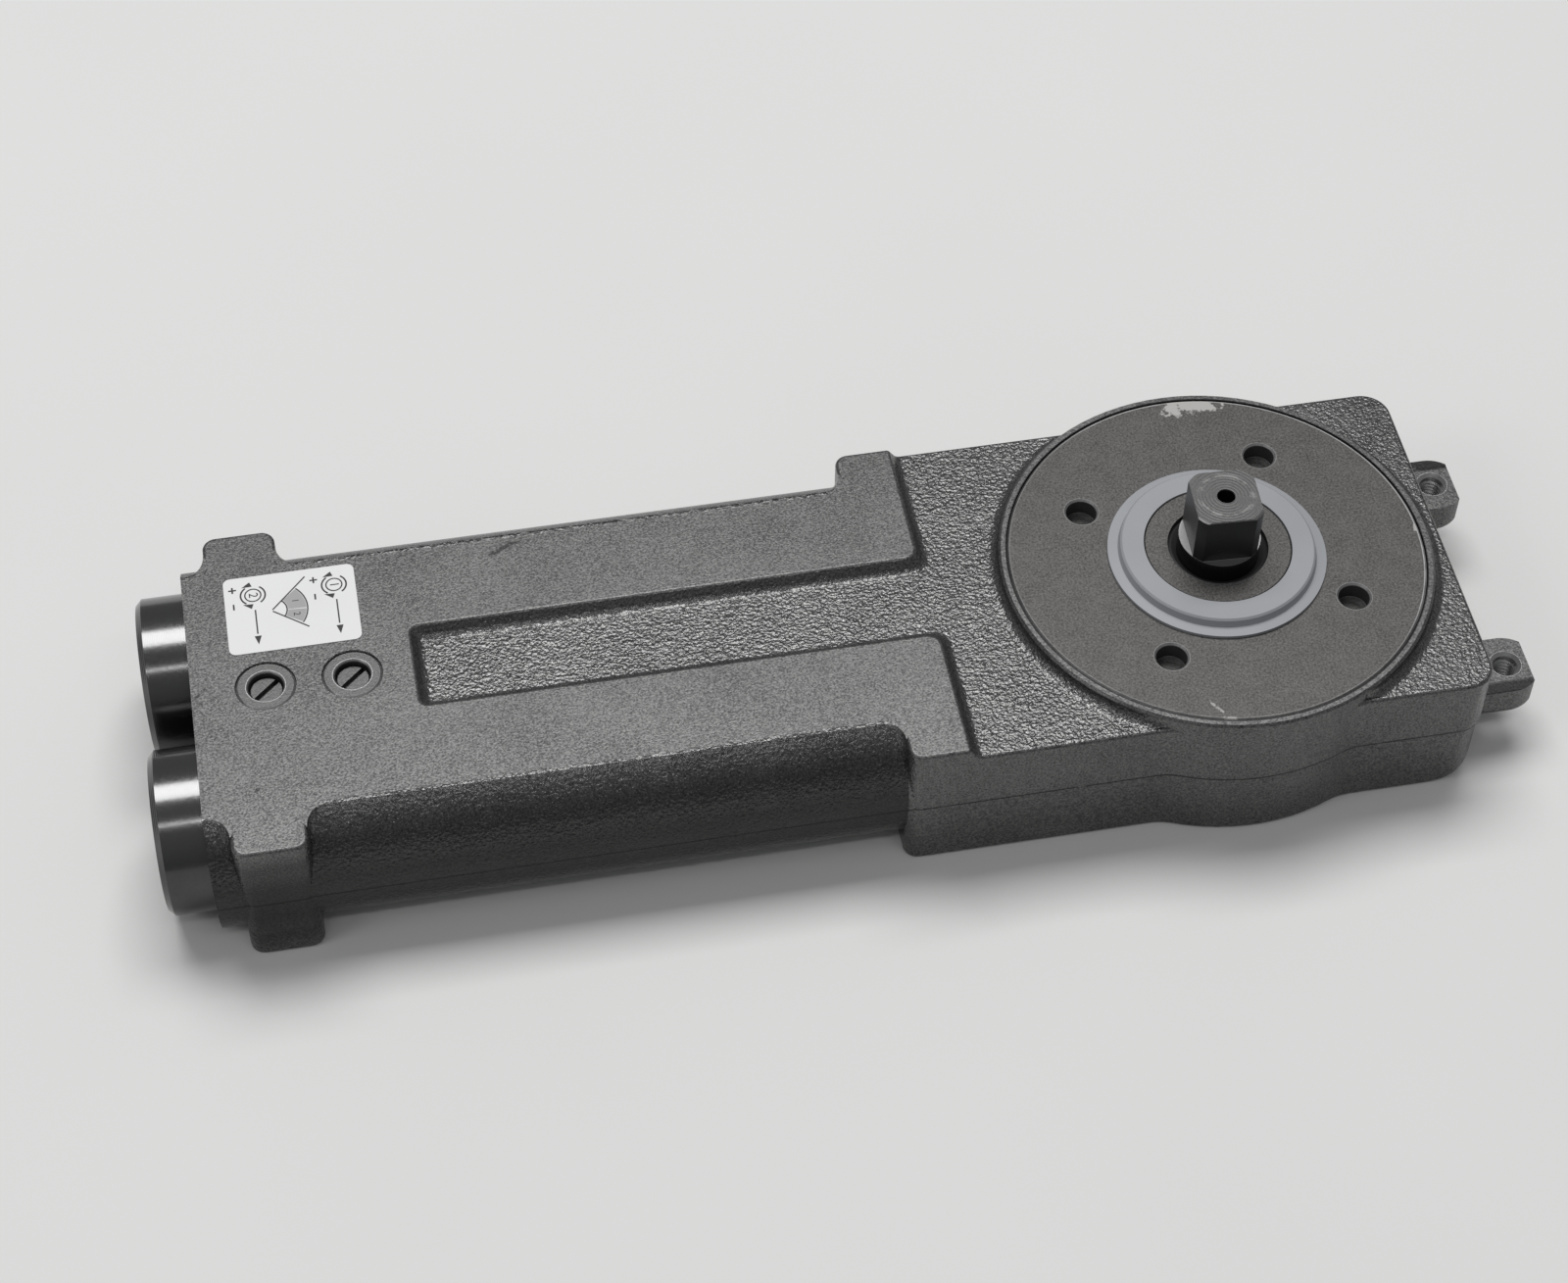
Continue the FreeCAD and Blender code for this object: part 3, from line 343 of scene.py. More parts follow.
cover = Finish("cover_steel")
along, across, up = cover.axes()
mottle = cover.noise(5 * MM, 4.0, 0.6)
grit = cover.noise(0.45 * MM, 2.0, 0.6)
reach = abs(along - RUBBED_PLACE[0]) / RUBBED_HALF[0]
depth = abs(across - RUBBED_PLACE[1]) / RUBBED_HALF[1]
broken = cover.noise(2.4 * MM, 4.0, 0.6)
patch = (1.3 - reach.math("MAXIMUM", depth) + 3.2 * (broken - 0.5)).above(0.5, 0.25)
scratched = sum((streak(along, across, *mark) for mark in SCRATCHES), 0 * along)
flecks = cover.noise(0.9 * MM, 2.0).above(0.46, 0.12)
rubbed = (patch + 0.8 * scratched * flecks).clamp()
rim = length(along, across).above(COVER_RADIUS - 0.6 * MM, 0.2 * MM)
# Painted highlight on the rim, stronger towards the far right.
rim_highlight_strength = (0.4 + cover.noise(3 * MM, 2.0)) * (0.25 + 0.75 * (along + across).above(15 * MM, 40 * MM))
holes = []
for quarter in range(4):
    angle = HOLE_ANGLE + quarter * math.pi / 2
    centre = (HOLE_CIRCLE * math.cos(angle), HOLE_CIRCLE * math.sin(angle))
    holes.append(length(along - centre[0], across - centre[1]))
nearest = holes[0].math("MINIMUM", holes[1]).math("MINIMUM", holes[2]).math("MINIMUM", holes[3])
# Painted highlight: a pale ring at the mouth of each spanner hole.
mouth = abs(nearest - HOLE_RADIUS - 0.2 * MM).below(0.3 * MM, 0.2 * MM)
inside = nearest.below(HOLE_RADIUS + 0.1 * MM, 0.1 * MM) * up.below(COVER_TOP - 0.6 * MM, 0.4 * MM)
painted_highlight_and_wear = (rim * rim_highlight_strength + 0.4 * mouth).clamp()
tone = (0.6 * mottle + 2.4 * grit - 1.0).clamp()
metal = cover.mix(tone, grey(0.045, 0.03), grey(0.14, 0.03))
# Painted highlight: the rim and the mouths of the spanner holes are painted pale.
metal = cover.mix(0.65 * painted_highlight_and_wear, metal, grey(0.6))
# Painted shade: the walls of the spanner holes are painted near black.
metal = cover.mix(0.6 * inside, metal, grey(0.02))
cover.set("Metallic", (0.75 - 0.5 * painted_highlight_and_wear - 0.3 * rubbed).clamp())
cover.set("Base Color", cover.mix(0.9 * rubbed, metal, grey(0.5, 0.03)))
cover.set("Roughness", (0.38 + 0.12 * grit + 0.08 * mottle - 0.08 * painted_highlight_and_wear + 0.2 * rubbed).clamp())
cover.bump(0.7 * grit + 0.4 * mottle, 0.06 * MM, 0.6)
dress(cover, "cover_plate")

# %% [markdown]
# ## Turned steels
# Turned steel carries fine rings from the tool. On the caps they run round the X axis, so a wave
# along X draws them, and on an upright piece a wave along Z does. A little grit keeps the sheen
# alive. The caps are painted paler along their top, a painted highlight.


# %% Turned steels
TOP_HIGHLIGHT_FROM = 27 * MM


def turned_steel(name, dark, light, ring_axis, ring_pitch, rough, tint=(1, 1, 1), top_highlight=0.0):
    """Steel with tool rings across an axis; the last argument paints its top paler, a painted
    highlight.
    """
    steel = Finish(name, Metallic=0.9)
    wobble = steel.noise(6 * MM, 2.0)
    axes = dict(zip("XYZ", steel.axes()))
    axis = axes[ring_axis]
    rings = ((axis + 0.15 * ring_pitch * wobble) * (2 * math.pi / ring_pitch)).math("SINE")
    grit = steel.noise(0.5 * MM, 3.0)
    shades = [(tone * tint[0], tone * tint[1], tone * tint[2], 1) for tone in (dark, light)]
    shade = steel.mix((0.6 * grit + 0.5 * wobble).clamp(), *shades)
    if top_highlight:
        # Painted highlight: the top of the piece is painted paler.
        shade = steel.mix(top_highlight * axes["Z"].above(TOP_HIGHLIGHT_FROM, 8 * MM), shade, grey(2 * light))
    steel.set("Base Color", shade)
    steel.set("Roughness", (rough + 0.12 * grit + 0.04 * rings).clamp())
    steel.bump(rings * 0.4 + grit * 0.6, 0.02 * MM, 0.5)
    return steel


BRONZE_TINT = (1.0, 0.68, 0.34)
cap_steel = turned_steel("black_oxide", 0.05, 0.1, "X", 0.35 * MM, 0.12, top_highlight=0.55)
inner_steel = turned_steel("inner_steel", 0.3, 0.45, "X", 0.4 * MM, 0.3)
bronze = turned_steel("bronze", 0.5, 0.62, "Z", 0.4 * MM, 0.3, BRONZE_TINT)
spring_steel = turned_steel("spring_steel", 0.15, 0.22, "X", 3 * MM, 0.35)
dress(cap_steel, "near_end_cap", "far_end_cap")
INNER = [
    "heart_cam", "cam_key", "upper_slide_plate", "lower_slide_plate", "crosshead", "plate_screws",
    "roller_pin", "cam_roller", "near_pull_rod", "far_pull_rod", "rod_nuts", "near_piston",
    "far_piston", "check_balls",
]
dress(inner_steel, *INNER)
dress(bronze, "cover_bush", "lower_bush", "thrust_washer")
dress(spring_steel, "near_spring", "far_spring")

# %% [markdown]
# ## Spindle
# The square is milled from a blackened shaft. Its flats stay black, while the end face is painted a
# lighter grey as a painted highlight, with a few turned circles, and the arm has left a worn ring on
# it. The crescent ledges at the foot of the square and the bevel at its end are painted the pale grey
# of bare steel, which also serves as a painted highlight. Height and distance from the axis tell
# these places apart.

# %% Spindle
SPINDLE_TOP = 53.6 * MM
SQUARE_FOOT = 41.5 * MM
WORN_RADIUS = 5.5 * MM

spindle_steel = Finish("spindle_steel", Metallic=0.9)
along, across, up = spindle_steel.axes()
radius = length(along, across)
end_face = up.above(SPINDLE_TOP - 0.3 * MM, 0.3 * MM)
ledge = abs(up - SQUARE_FOOT).below(0.1 * MM, 0.1 * MM)
bevel = abs(up - SPINDLE_TOP + 0.25 * MM).below(0.2 * MM, 0.06 * MM)
grit = spindle_steel.noise(0.5 * MM, 3.0, 0.6)
patches = spindle_steel.noise(2.2 * MM, 3.0, 0.6).above(0.52, 0.2)
worn_ring = abs(radius + 1.2 * MM * (grit - 0.5) - WORN_RADIUS).below(0.5 * MM, 0.6 * MM) * patches
circles = (radius * (2 * math.pi / (0.7 * MM))).math("SINE")
# Painted highlight: the end face is painted lighter; the worn ring on it is wear.
painted_highlight_and_wear = (end_face * (0.1 + 0.4 * grit) + 0.35 * end_face * worn_ring).clamp()
shade = spindle_steel.mix(painted_highlight_and_wear, grey(0.05), grey(0.24, 0.01))
# The ledges and the bevel are painted pale: bare steel, with a painted highlight.
bare_and_highlight = (ledge + 0.7 * bevel).clamp()
spindle_steel.set("Base Color", spindle_steel.mix(bare_and_highlight, shade, grey(0.36)))
spindle_steel.set("Roughness", (0.26 + 0.14 * grit + 0.1 * end_face + 0.15 * ledge).clamp())
spindle_steel.bump(0.5 * grit + end_face * (0.25 * circles - 0.6 * worn_ring), 0.04 * MM, 0.6)
dress(spindle_steel, "spindle")

# %% [markdown]
# ## Valves
# Each speed valve is a screw in a flush bush. Both are steel dulled by the paint shop. The bush is
# painted pale on its outer bevel and at its mouth as painted highlights, so the distance from the
# nearest valve axis picks those rings out.

# %% Valves
VALVE_X = (-180.5 * MM, -198 * MM)
BUSH_RADIUS = 6.2 * MM
MOUTH_RADIUS = 3.9 * MM

valve_steel = Finish("valve_steel", Metallic=0.85)
along, across, _ = valve_steel.axes()
radius = length(along - VALVE_X[0], across).math("MINIMUM", length(along - VALVE_X[1], across))
bevel = radius.above(BUSH_RADIUS - 0.6 * MM, 0.15 * MM)
mouth = abs(radius - MOUTH_RADIUS).below(0.2 * MM, 0.2 * MM)
grit = valve_steel.noise(0.42 * MM, 2.0, 0.6)
tone = (1.5 * grit - 0.3).clamp()
shade = valve_steel.mix(tone, grey(0.075), grey(0.16, 0.01))
# Painted highlight: pale rings on the bevel and the mouth of each bush.
painted_highlight_rings = (0.8 * bevel + 0.5 * mouth).clamp()
valve_steel.set("Base Color", valve_steel.mix(painted_highlight_rings, shade, grey(0.55)))
valve_steel.set("Roughness", (0.3 + 0.15 * grit).clamp())
valve_steel.bump(grit, 0.04 * MM, 0.7)
dress(valve_steel, "closing_valve_bush", "latching_valve_bush")
dress(valve_steel, "closing_valve_screw", "latching_valve_screw")

# %% [markdown]
# ## Plastic, rubber and paper
# The ring on the hub is a moulded grey plastic with a soft sheen. Seals are black rubber. The label
# is a white printed film. All are dull, so one recipe serves: two near shades, a speckle and a
# faint relief.


# %% Plastic, rubber and paper
def matt(name, dark, light, rough, grain, depth):
    """A dull finish between two shades, with a speckle of that grain."""
    finish = Finish(name)
    speckle = finish.noise(grain, 3.0)
    cloud = finish.noise(12 * MM, 2.0)
    finish.set("Base Color", finish.mix((0.4 * speckle + 0.6 * cloud).clamp(), dark, light))
    finish.set("Roughness", (rough + 0.15 * speckle).clamp())
    finish.bump(speckle, depth, 0.4)
    return finish


PLASTIC_DARK = (0.30, 0.31, 0.33, 1)
PLASTIC_LIGHT = (0.37, 0.38, 0.40, 1)
grey_plastic = matt("grey_plastic", PLASTIC_DARK, PLASTIC_LIGHT, 0.42, 0.6 * MM, 0.02 * MM)
seal_rubber = matt("seal_rubber", grey(0.018), grey(0.04), 0.36, 0.5 * MM, 0.03 * MM)
ring_plastic = matt("ring_plastic", grey(0.55, 0.03), grey(0.65, 0.03), 0.45, 0.6 * MM, 0.02 * MM)
label_paper = matt("label_paper", grey(0.8), grey(0.86), 0.5, 0.4 * MM, 0.01 * MM)
label_ink = matt("label_ink", grey(0.02), grey(0.03), 0.5, 0.3 * MM, 0.01 * MM)
label_tint = matt("label_tint", grey(0.36), grey(0.42), 0.5, 0.3 * MM, 0.01 * MM)
dress(grey_plastic, "dust_ring")
RUBBER = [
    "shaft_seal", "cover_o_ring", "end_cap_o_rings", "closing_valve_o_ring", "latching_valve_o_ring",
]
dress(seal_rubber, *RUBBER)
dress(ring_plastic, "piston_rings")
dress(label_paper, "valve_label")

# %% [markdown]
# ## Printed marks of the label
# The label tells which screw sets which part of the swing: a numeral in a ring with plus and minus,
# an arrow towards its screw, and a small plan of the door's swing in two parts. Ink is a very thin
# layer, so each mark is a flat face with a Solidify modifier, and the grey tint is thinner than the
# black. A ring starts as a filled circle whose inside is inset and deleted. An arc is a ring cut by
# two bisect planes. A bar is a plane, stretched and turned.

# %% Tools for flat marks
LABEL_LOW, LABEL_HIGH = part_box("valve_label")
INK = 0.03 * MM
TINT = 0.5 * INK
INK_FOOT = LABEL_HIGH[2]


def only(piece):
    """Selects one piece and nothing else."""
    bpy.ops.object.select_all(action="DESELECT")
    piece.select_set(True)
    bpy.context.view_layer.objects.active = piece


def on_label(u, v):
    """A place on the label, in millimetres from its left near corner."""
    return (LABEL_LOW[0] + u * MM, LABEL_LOW[1] + v * MM, INK_FOOT)


def settled(piece):
    """Moves a piece's place, turn and size into its mesh."""
    only(piece)
    bpy.ops.object.transform_apply(location=True, rotation=True, scale=True)
    return piece


def band(u, v, inner, outer, start=0, sweep=360):
    """A ring, or the part of it that sweeps from a start angle, in millimetres and degrees."""
    bpy.ops.object.select_all(action="DESELECT")
    bpy.ops.mesh.primitive_circle_add(vertices=48, radius=outer * MM, fill_type="NGON")
    piece = bpy.context.object
    bpy.ops.object.mode_set(mode="EDIT")
    bpy.ops.mesh.select_all(action="SELECT")
    bpy.ops.mesh.inset(thickness=(outer - inner) * MM)
    bpy.ops.mesh.delete(type="FACE")
    if sweep < 360:
        for angle, side in ((start, 1), (start + sweep, -1)):
            turned = math.radians(angle)
            normal = (-side * math.sin(turned), side * math.cos(turned), 0)
            bpy.ops.mesh.select_all(action="SELECT")
            bpy.ops.mesh.bisect(plane_co=(0, 0, 0), plane_no=normal, clear_inner=True)
    bpy.ops.object.mode_set(mode="OBJECT")
    piece.location = on_label(u, v)
    return settled(piece)


# %% [markdown]
# Bars, arrow heads and numerals are made where they are used, at their own size, and settled there.
# A numeral is a text object that becomes a mesh before it is moved.


# %% Bars, arrow heads and numerals
def bar(u, v, size, angle, width=0.3):
    """A thin straight mark centred at a place."""
    bpy.ops.object.select_all(action="DESELECT")
    bpy.ops.mesh.primitive_plane_add(size=1)
    piece = bpy.context.object
    piece.scale = (size * MM, width * MM, 1)
    piece.rotation_euler = (0, 0, math.radians(angle))
    piece.location = on_label(u, v)
    return settled(piece)


def arrow_head(u, v, angle, size):
    """A slim triangle that points along an angle."""
    bpy.ops.object.select_all(action="DESELECT")
    bpy.ops.mesh.primitive_circle_add(vertices=3, radius=size * MM, fill_type="NGON")
    piece = bpy.context.object
    piece.scale = (0.55, 1, 1)
    piece.rotation_euler = (0, 0, math.radians(angle - 90))
    piece.location = on_label(u, v)
    return settled(piece)


def numeral(u, v, digit, size=2.7):
    """A digit that reads from the label's short side."""
    bpy.ops.object.select_all(action="DESELECT")
    bpy.ops.object.text_add()
    piece = bpy.context.object
    piece.data.body = digit
    piece.data.size = size * MM
    piece.data.align_x = "CENTER"
    piece.data.align_y = "CENTER"
    bpy.ops.object.convert(target="MESH")
    piece = bpy.context.object
    piece.rotation_euler = (0, 0, math.radians(-90))
    piece.location = on_label(u, v)
    return settled(piece)


# %% [markdown]
# Marks of one colour are joined to one piece, and the Solidify modifier gives it the thickness of
# ink.


# %% Ink
def printed(name, marks, finish, thickness):
    """Joins flat marks and gives them the thickness of ink."""
    bpy.ops.object.select_all(action="DESELECT")
    for mark in marks:
        mark.select_set(True)
    bpy.context.view_layer.objects.active = marks[0]
    bpy.ops.object.join()
    piece = bpy.context.object
    piece.name = name
    layer = piece.modifiers.new("ink", "SOLIDIFY")
    layer.thickness = thickness
    layer.offset = 1
    bpy.ops.object.modifier_apply(modifier=layer.name)
    piece.data.materials.clear()
    piece.data.materials.append(finish.material)
    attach(piece, "housing")
    print(name, len(piece.data.polygons), "faces")
    return piece


# %% [markdown]
# The marks are laid out in millimetres on the label. Both screws have the same set of marks, so a
# loop draws it twice. The swing is two arcs and two lines about the hinge, with a numeral in each
# part.

# %% Printed marks
DIALS = (("2", 5.9), ("1", 22.6))
DIAL_V = 15.2
SIGN = 0.36
HINGE_U, HINGE_V = 9.4, 10.4
PARTS = (("1", 21), ("2", -18.5))
PART_RADIUS = 5.25

ink = []
v = DIAL_V
for digit, u in DIALS:
    ink.append(numeral(u, v, digit))
    ink.append(band(u, v, 1.5, 1.78))
    ink.append(band(u, v, 2.35, 2.7, 125, 110))
    ink.append(band(u, v, 2.35, 2.7, -55, 110))
    ink.append(arrow_head(u - 0.9, v + 2.75, 200, 1.35))
    ink.append(arrow_head(u - 0.9, v - 2.75, 160, 1.35))
    ink.append(bar(u - 4.1, v + 1.9, 1.6, 0, SIGN))
    ink.append(bar(u - 4.1, v + 2.39, 0.62, 90, SIGN))
    ink.append(bar(u - 4.1, v + 1.41, 0.62, 90, SIGN))
    ink.append(bar(u - 4.1, v - 2.6, 1.5, 90, SIGN))
    ink.append(bar(u + 0.2, v - 7.2, 6.4, 90))
    ink.append(arrow_head(u + 0.2, v - 11.7, -90, 1.5))
ink.append(bar(HINGE_U + 3.8, HINGE_V + 4.1, 10.6, 47))
ink.append(bar(HINGE_U + 3.7, HINGE_V - 2.8, 8.8, -37))
ink.append(band(HINGE_U, HINGE_V, 7.2, 7.5, -34, 78))
ink.append(band(HINGE_U, HINGE_V, 3.0, 3.3, -34, 78))
for digit, angle in PARTS:
    turned = math.radians(angle)
    u = HINGE_U + PART_RADIUS * math.cos(turned)
    v = HINGE_V + PART_RADIUS * math.sin(turned)
    ink.append(numeral(u, v, digit, 2.0))
printed("label_print", ink, label_ink, INK)
tint = [band(HINGE_U, HINGE_V, 3.4, 7.1, -2, 46), band(HINGE_U, HINGE_V, 3.4, 7.1, -33, 29)]
printed("label_shade", tint, label_tint, TINT)

# %% [markdown]
# ## Threads of the lugs
# Each lug is tapped for a machine screw, and the thread is bare steel. A thread is a small triangle
# that climbs as it turns, which is what the Screw modifier does to an outline. One thread is made
# round the Z axis and copied.

# %% Threads of the lugs
LUG_FOOT = 8.6 * MM
THREAD_WALL = 2.66 * MM
THREAD_CREST = 2.2 * MM
THREAD_PITCH = 1.0 * MM
THREAD_TURNS = 7
THREAD_STEPS = 28
TINY = 0.001 * MM
SMOOTH_ANGLE = math.radians(40)


def side(piece, axis):
    """How long a mesh is along an axis."""
    places = [vertex.co[axis] for vertex in piece.data.vertices]
    return max(places) - min(places)


def closed(merge=True):
    """Merges doubles, closes open ends and turns the faces outwards, in edit mode."""
    bpy.ops.mesh.select_all(action="SELECT")
    if merge:
        bpy.ops.mesh.remove_doubles(threshold=TINY)
    bpy.ops.mesh.fill_holes(sides=0)
    bpy.ops.mesh.select_all(action="SELECT")
    bpy.ops.mesh.normals_make_consistent(inside=False)


def thread():
    """The thread of one lug, round the Z axis."""
    bpy.ops.object.select_all(action="DESELECT")
    bpy.ops.mesh.primitive_circle_add(vertices=3, radius=0.5 * THREAD_PITCH, fill_type="NOTHING")
    piece = bpy.context.object
    piece.rotation_euler = (math.pi / 2, 0, 0)
    settled(piece)
    flat, tall = side(piece, 0), side(piece, 2)
    bpy.ops.object.mode_set(mode="EDIT")
    bpy.ops.mesh.select_all(action="SELECT")
    bpy.ops.transform.rotate(value=math.pi / 2, orient_axis="Y", center_override=(0, 0, 0))
    stretch = ((THREAD_WALL - THREAD_CREST) / tall, 1, 0.8 * THREAD_PITCH / flat)
    bpy.ops.transform.resize(value=stretch, center_override=(0, 0, 0))
    bpy.ops.object.mode_set(mode="OBJECT")
    inner = min(vertex.co.x for vertex in piece.data.vertices)
    piece.location = (THREAD_CREST - inner, 0, 0)
    settled(piece)
    wind = piece.modifiers.new("thread", "SCREW")
    wind.axis = "Z"
    wind.screw_offset = THREAD_PITCH
    wind.iterations = THREAD_TURNS
    wind.steps = wind.render_steps = THREAD_STEPS
    bpy.ops.object.modifier_apply(modifier=wind.name)
    bpy.ops.object.mode_set(mode="EDIT")
    closed()
    bpy.ops.object.mode_set(mode="OBJECT")
    return piece


def copied(piece):
    """A copy with a mesh of its own."""
    only(piece)
    bpy.ops.object.duplicate()
    return bpy.context.object


def coat(piece, finish):
    """Puts a finish on a new piece."""
    piece.data.materials.clear()
    piece.data.materials.append(finish.material)
    print(piece.name, len(piece.data.polygons), "faces")


near_thread = thread()
far_thread = copied(near_thread)
for hand, piece, y in (("near", near_thread, -LUG_Y), ("far", far_thread, LUG_Y)):
    piece.name = f"{hand}_lug_thread"
    piece.location = (LUG_X, y, LUG_FOOT + 0.5 * THREAD_PITCH)
    settled(piece)
    bpy.ops.object.shade_smooth_by_angle(angle=SMOOTH_ANGLE)
    coat(piece, inner_steel)
    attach(piece, "housing")

# %% [markdown]
# ## Corner fillets
# Where the ears and the shoulders stand on the barrels, the mould leaves a hollow corner that fades
# out down the flank. A circle is cut to a quarter, given some depth and turned by the Screw
# modifier, and bisect trims the ring. It goes round more tightly than the barrel, so it sinks into
# the barrel's side.

# %% Corner fillets
BARREL_AXIS = 20 * MM
BARREL_RADIUS = 20.9 * MM
FILLET_ROOT = 0.9 * MM
FILLET_SWEEP = 9 * MM
FILLET_STEPS = 96
FILLET_KEPT = 2 * MM
LAND_ANGLE = math.asin(HALF_HEIGHT / BARREL_RADIUS)
FILLET_Y = BARREL_AXIS + (BARREL_RADIUS - FILLET_SWEEP) * math.cos(LAND_ANGLE)
FILLET_Z = HALF_HEIGHT + (BARREL_RADIUS - FILLET_SWEEP) * math.sin(LAND_ANGLE)
FILLET_TOP = LAND_TOP - FILLET_Z - 0.02 * MM
FILLETS = [
    ("ear_end", -208 * MM, -1, 3.4 * MM),
    ("ear_inner", -193 * MM, 1, 3.4 * MM),
    ("shoulder", -73.5 * MM, -1, 3.0 * MM),
]


def cut(place, direction, fill):
    """Cuts off what lies past a plane, in edit mode."""
    bpy.ops.mesh.select_all(action="SELECT")
    bpy.ops.mesh.bisect(
        plane_co=place, plane_no=direction, clear_outer=True, use_fill=fill, threshold=TINY)


def corner_fillet(face, way, radius):
    """A fillet beside the wall at x = face, on its side way, swept round the X axis."""
    bpy.ops.object.select_all(action="DESELECT")
    bpy.ops.mesh.primitive_circle_add(vertices=36, radius=radius, fill_type="NOTHING")
    piece = bpy.context.object
    middle = (face + way * radius, FILLET_SWEEP + radius, 0)
    piece.location = middle
    settled(piece)
    bpy.ops.object.mode_set(mode="EDIT")
    cut(middle, (way, 0, 0), False)
    cut(middle, (0, 1, 0), False)
    bpy.ops.mesh.select_all(action="SELECT")
    inwards = (-way * FILLET_ROOT, -FILLET_ROOT, 0)
    bpy.ops.mesh.extrude_region_move(TRANSFORM_OT_translate={"value": inwards})
    bpy.ops.mesh.select_all(action="SELECT")
    bpy.ops.mesh.dissolve_faces()
    bpy.ops.mesh.delete(type="ONLY_FACE")
    bpy.ops.object.mode_set(mode="OBJECT")
    sweep = piece.modifiers.new("sweep", "SCREW")
    sweep.axis = "X"
    sweep.steps = sweep.render_steps = FILLET_STEPS
    bpy.ops.object.modifier_apply(modifier=sweep.name)
    bpy.ops.object.mode_set(mode="EDIT")
    bpy.ops.mesh.select_all(action="SELECT")
    bpy.ops.mesh.remove_doubles(threshold=TINY)
    cut((0, 0, FILLET_TOP), (0, 0, 1), True)
    cut((0, 0, -FILLET_KEPT), (0, 0, -1), True)
    cut((0, FILLET_KEPT, 0), (0, -1, 0), True)
    bpy.ops.object.mode_set(mode="OBJECT")
    return piece


for corner, face, way, radius in FILLETS:
    far_fillet = corner_fillet(face, way, radius)
    near_fillet = copied(far_fillet)
    for hand, piece, sign in (("far", far_fillet, 1), ("near", near_fillet, -1)):
        piece.name = f"{hand}_{corner}_fillet"
        piece.location = (0, sign * FILLET_Y, FILLET_Z)
        piece.scale = (1, sign, 1)
        settled(piece)
        bpy.ops.object.mode_set(mode="EDIT")
        bpy.ops.mesh.select_all(action="SELECT")
        bpy.ops.mesh.normals_make_consistent(inside=False)
        bpy.ops.object.mode_set(mode="OBJECT")
        bpy.ops.object.shade_smooth_by_angle(angle=SMOOTH_ANGLE)
        coat(piece, paint)
        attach(piece, "housing")

# %% [markdown]
# ## Coil springs
# Two springs push the pistons back. A helix is a circle that the Screw modifier turns and lifts.

# %% Coil springs
SPRING_LEFT = -164 * MM
SPRING_RIGHT = -66 * MM
SPRING_MEAN = 11.25 * MM
SPRING_WIRE = 2.25 * MM
SPRING_TURNS = 10.5
SPRING_STEPS = 300


def coil():
    """One spring, round the Z axis from the origin up."""
    bpy.ops.object.select_all(action="DESELECT")
    bpy.ops.mesh.primitive_circle_add(vertices=12, radius=SPRING_WIRE, fill_type="NOTHING")
    piece = bpy.context.object
    piece.rotation_euler = (math.pi / 2, 0, 0)
    piece.location = (SPRING_MEAN, 0, 0)
    settled(piece)
    wind = piece.modifiers.new("coil", "SCREW")
    wind.axis = "Z"
    wind.angle = SPRING_TURNS * 2 * math.pi
    wind.screw_offset = SPRING_RIGHT - SPRING_LEFT - 2 * SPRING_WIRE
    wind.steps = wind.render_steps = SPRING_STEPS
    bpy.ops.object.modifier_apply(modifier=wind.name)
    bpy.ops.object.mode_set(mode="EDIT")
    closed(merge=False)
    bpy.ops.object.mode_set(mode="OBJECT")
    bpy.ops.object.shade_smooth_by_angle(angle=math.radians(50))
    return piece


near_coil = coil()
far_coil = copied(near_coil)
for name, piece, y in (("near_spring", near_coil, -BARREL_AXIS), ("far_spring", far_coil, BARREL_AXIS)):
    piece.name = f"{name}_coil"
    piece.rotation_euler = (0, math.pi / 2, 0)
    piece.location = (SPRING_LEFT + SPRING_WIRE, y, HALF_HEIGHT)
    settled(piece)
    coat(piece, spring_steel)
    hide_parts(name)
    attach(piece, "housing")
    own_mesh(piece)

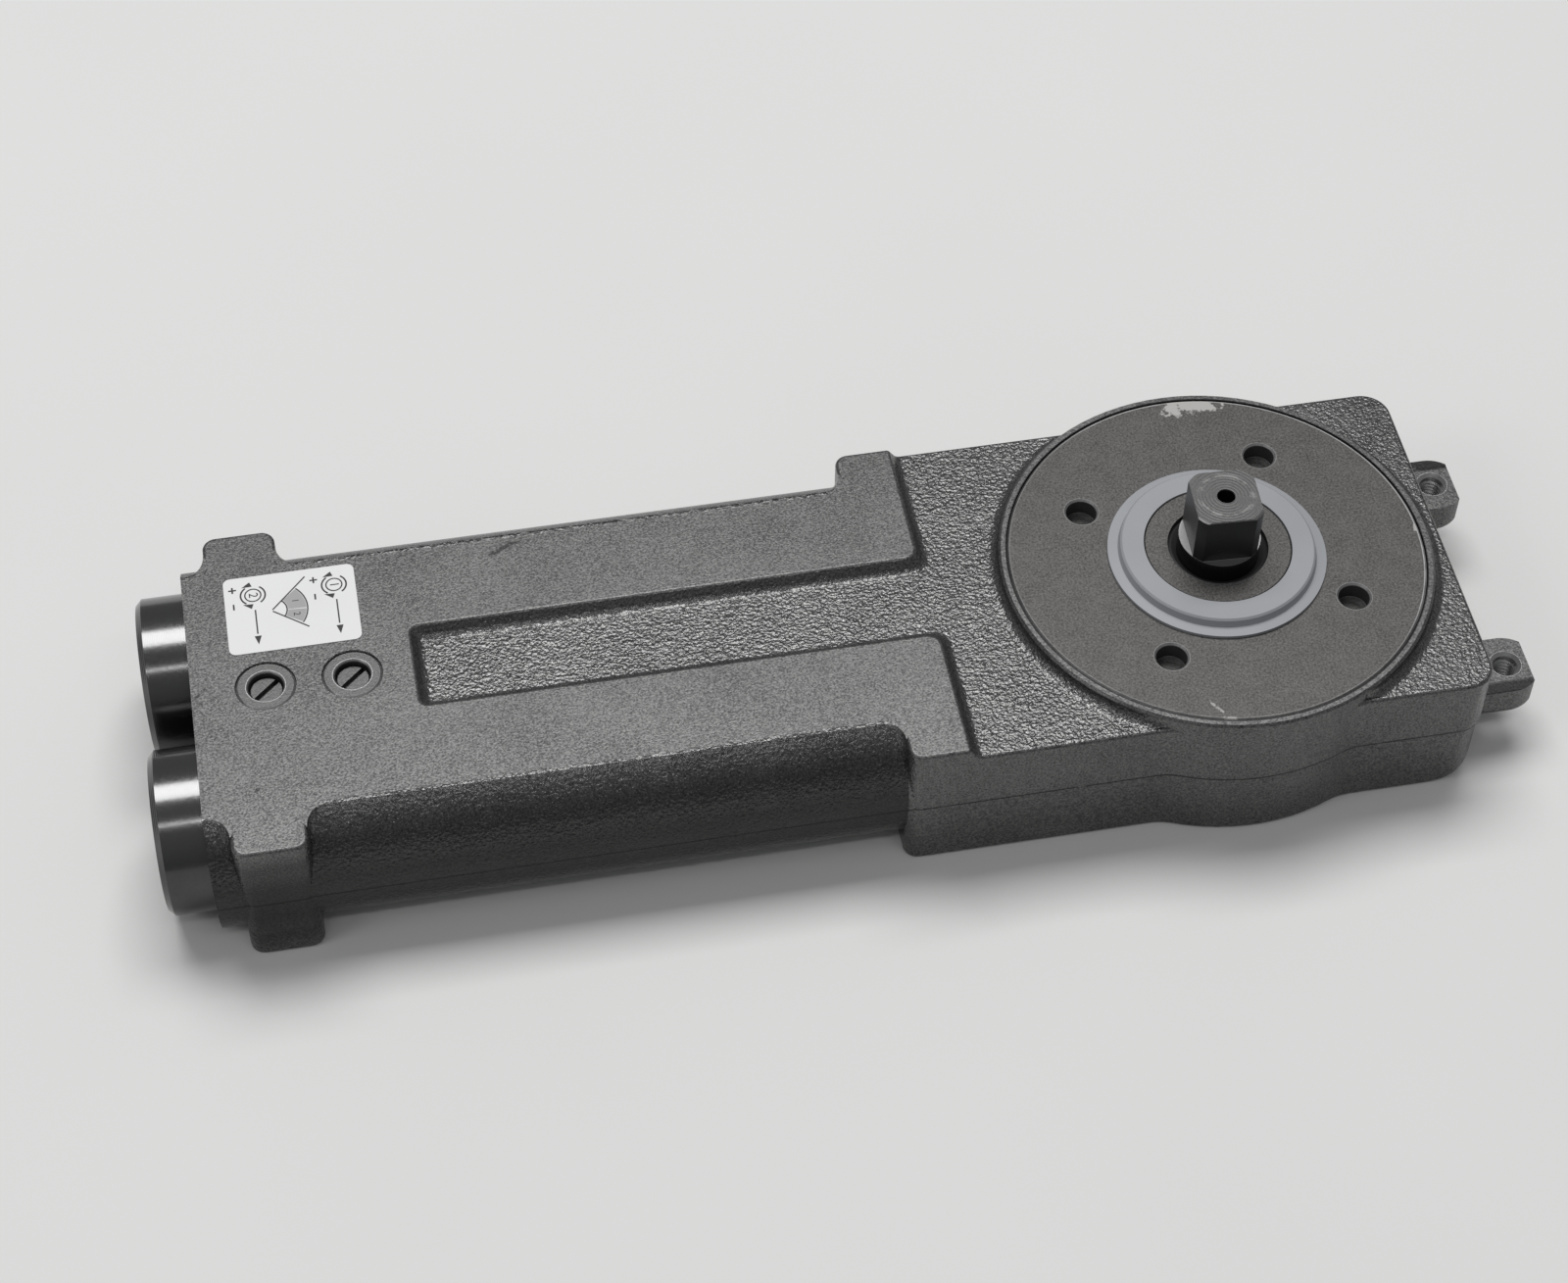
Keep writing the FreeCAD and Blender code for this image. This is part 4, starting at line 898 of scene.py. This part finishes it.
# %% [markdown]
# ## Floor and light
# The closer lies on pale paper. One broad ceiling panel, a little behind it, draws the bright band
# on the black caps and lights the lands. A narrow tube in front of the panel adds a thin second
# line, a small window to the left picks out the bevels, and a soft grey world fills the shade.

# %% Floor and light
FLOOR_SIDE = 12.0
PAPER_DARK = (0.77, 0.77, 0.76, 1)
PAPER_LIGHT = (0.81, 0.81, 0.80, 1)
MIDDLE = Vector((-0.08, 0, 0.02))
LAMP_FAR = 2.5
WINDOW_FAR = 2.0
WINDOW_SIDE = 0.6
WINDOW_WATTS = 3.5
WINDOW_WAY = Vector((-0.7, -0.25, 0.65)).normalized()
SKY_COLOUR = (0.97, 0.98, 1.0, 1)
SKY_STRENGTH = 0.2

floor_paper = Finish("floor_paper", Roughness=0.8)
cloud = floor_paper.noise(120 * MM, 3.0)
floor_paper.set("Base Color", floor_paper.mix(cloud, PAPER_DARK, PAPER_LIGHT))
bpy.ops.mesh.primitive_plane_add(size=FLOOR_SIDE)
floor = bpy.context.object
floor.name = "floor"
floor.data.materials.append(floor_paper.material)


def panel(name, lean, sides, watts):
    """A flat lamp above the closer, leaned back by an angle from straight overhead."""
    lean = math.radians(lean)
    place = MIDDLE + LAMP_FAR * Vector((0, math.sin(lean), math.cos(lean)))
    bpy.ops.object.light_add(type="AREA", location=place)
    light = bpy.context.object
    light.name = name
    light.data.shape = "RECTANGLE"
    light.data.size = sides[0]
    light.data.size_y = sides[1]
    light.data.energy = watts
    light.rotation_euler = (-lean, 0, 0)
    return light


panel("ceiling_panel", 20, (1.9, 1.05), 43)
panel("ceiling_tube", -27, (1.9, 0.14), 5)
bpy.ops.object.light_add(type="AREA", location=MIDDLE + WINDOW_FAR * WINDOW_WAY)
window = bpy.context.object
window.name = "window"
window.data.size = WINDOW_SIDE
window.data.energy = WINDOW_WATTS
window.rotation_euler = WINDOW_WAY.to_track_quat("Z", "Y").to_euler()
world = bpy.data.worlds.new("studio")
bpy.context.scene.world = world
world.use_nodes = True
sky = world.node_tree.nodes["Background"]
sky.inputs["Color"].default_value = SKY_COLOUR
sky.inputs["Strength"].default_value = SKY_STRENGTH
bpy.context.scene.view_settings.view_transform = "Standard"
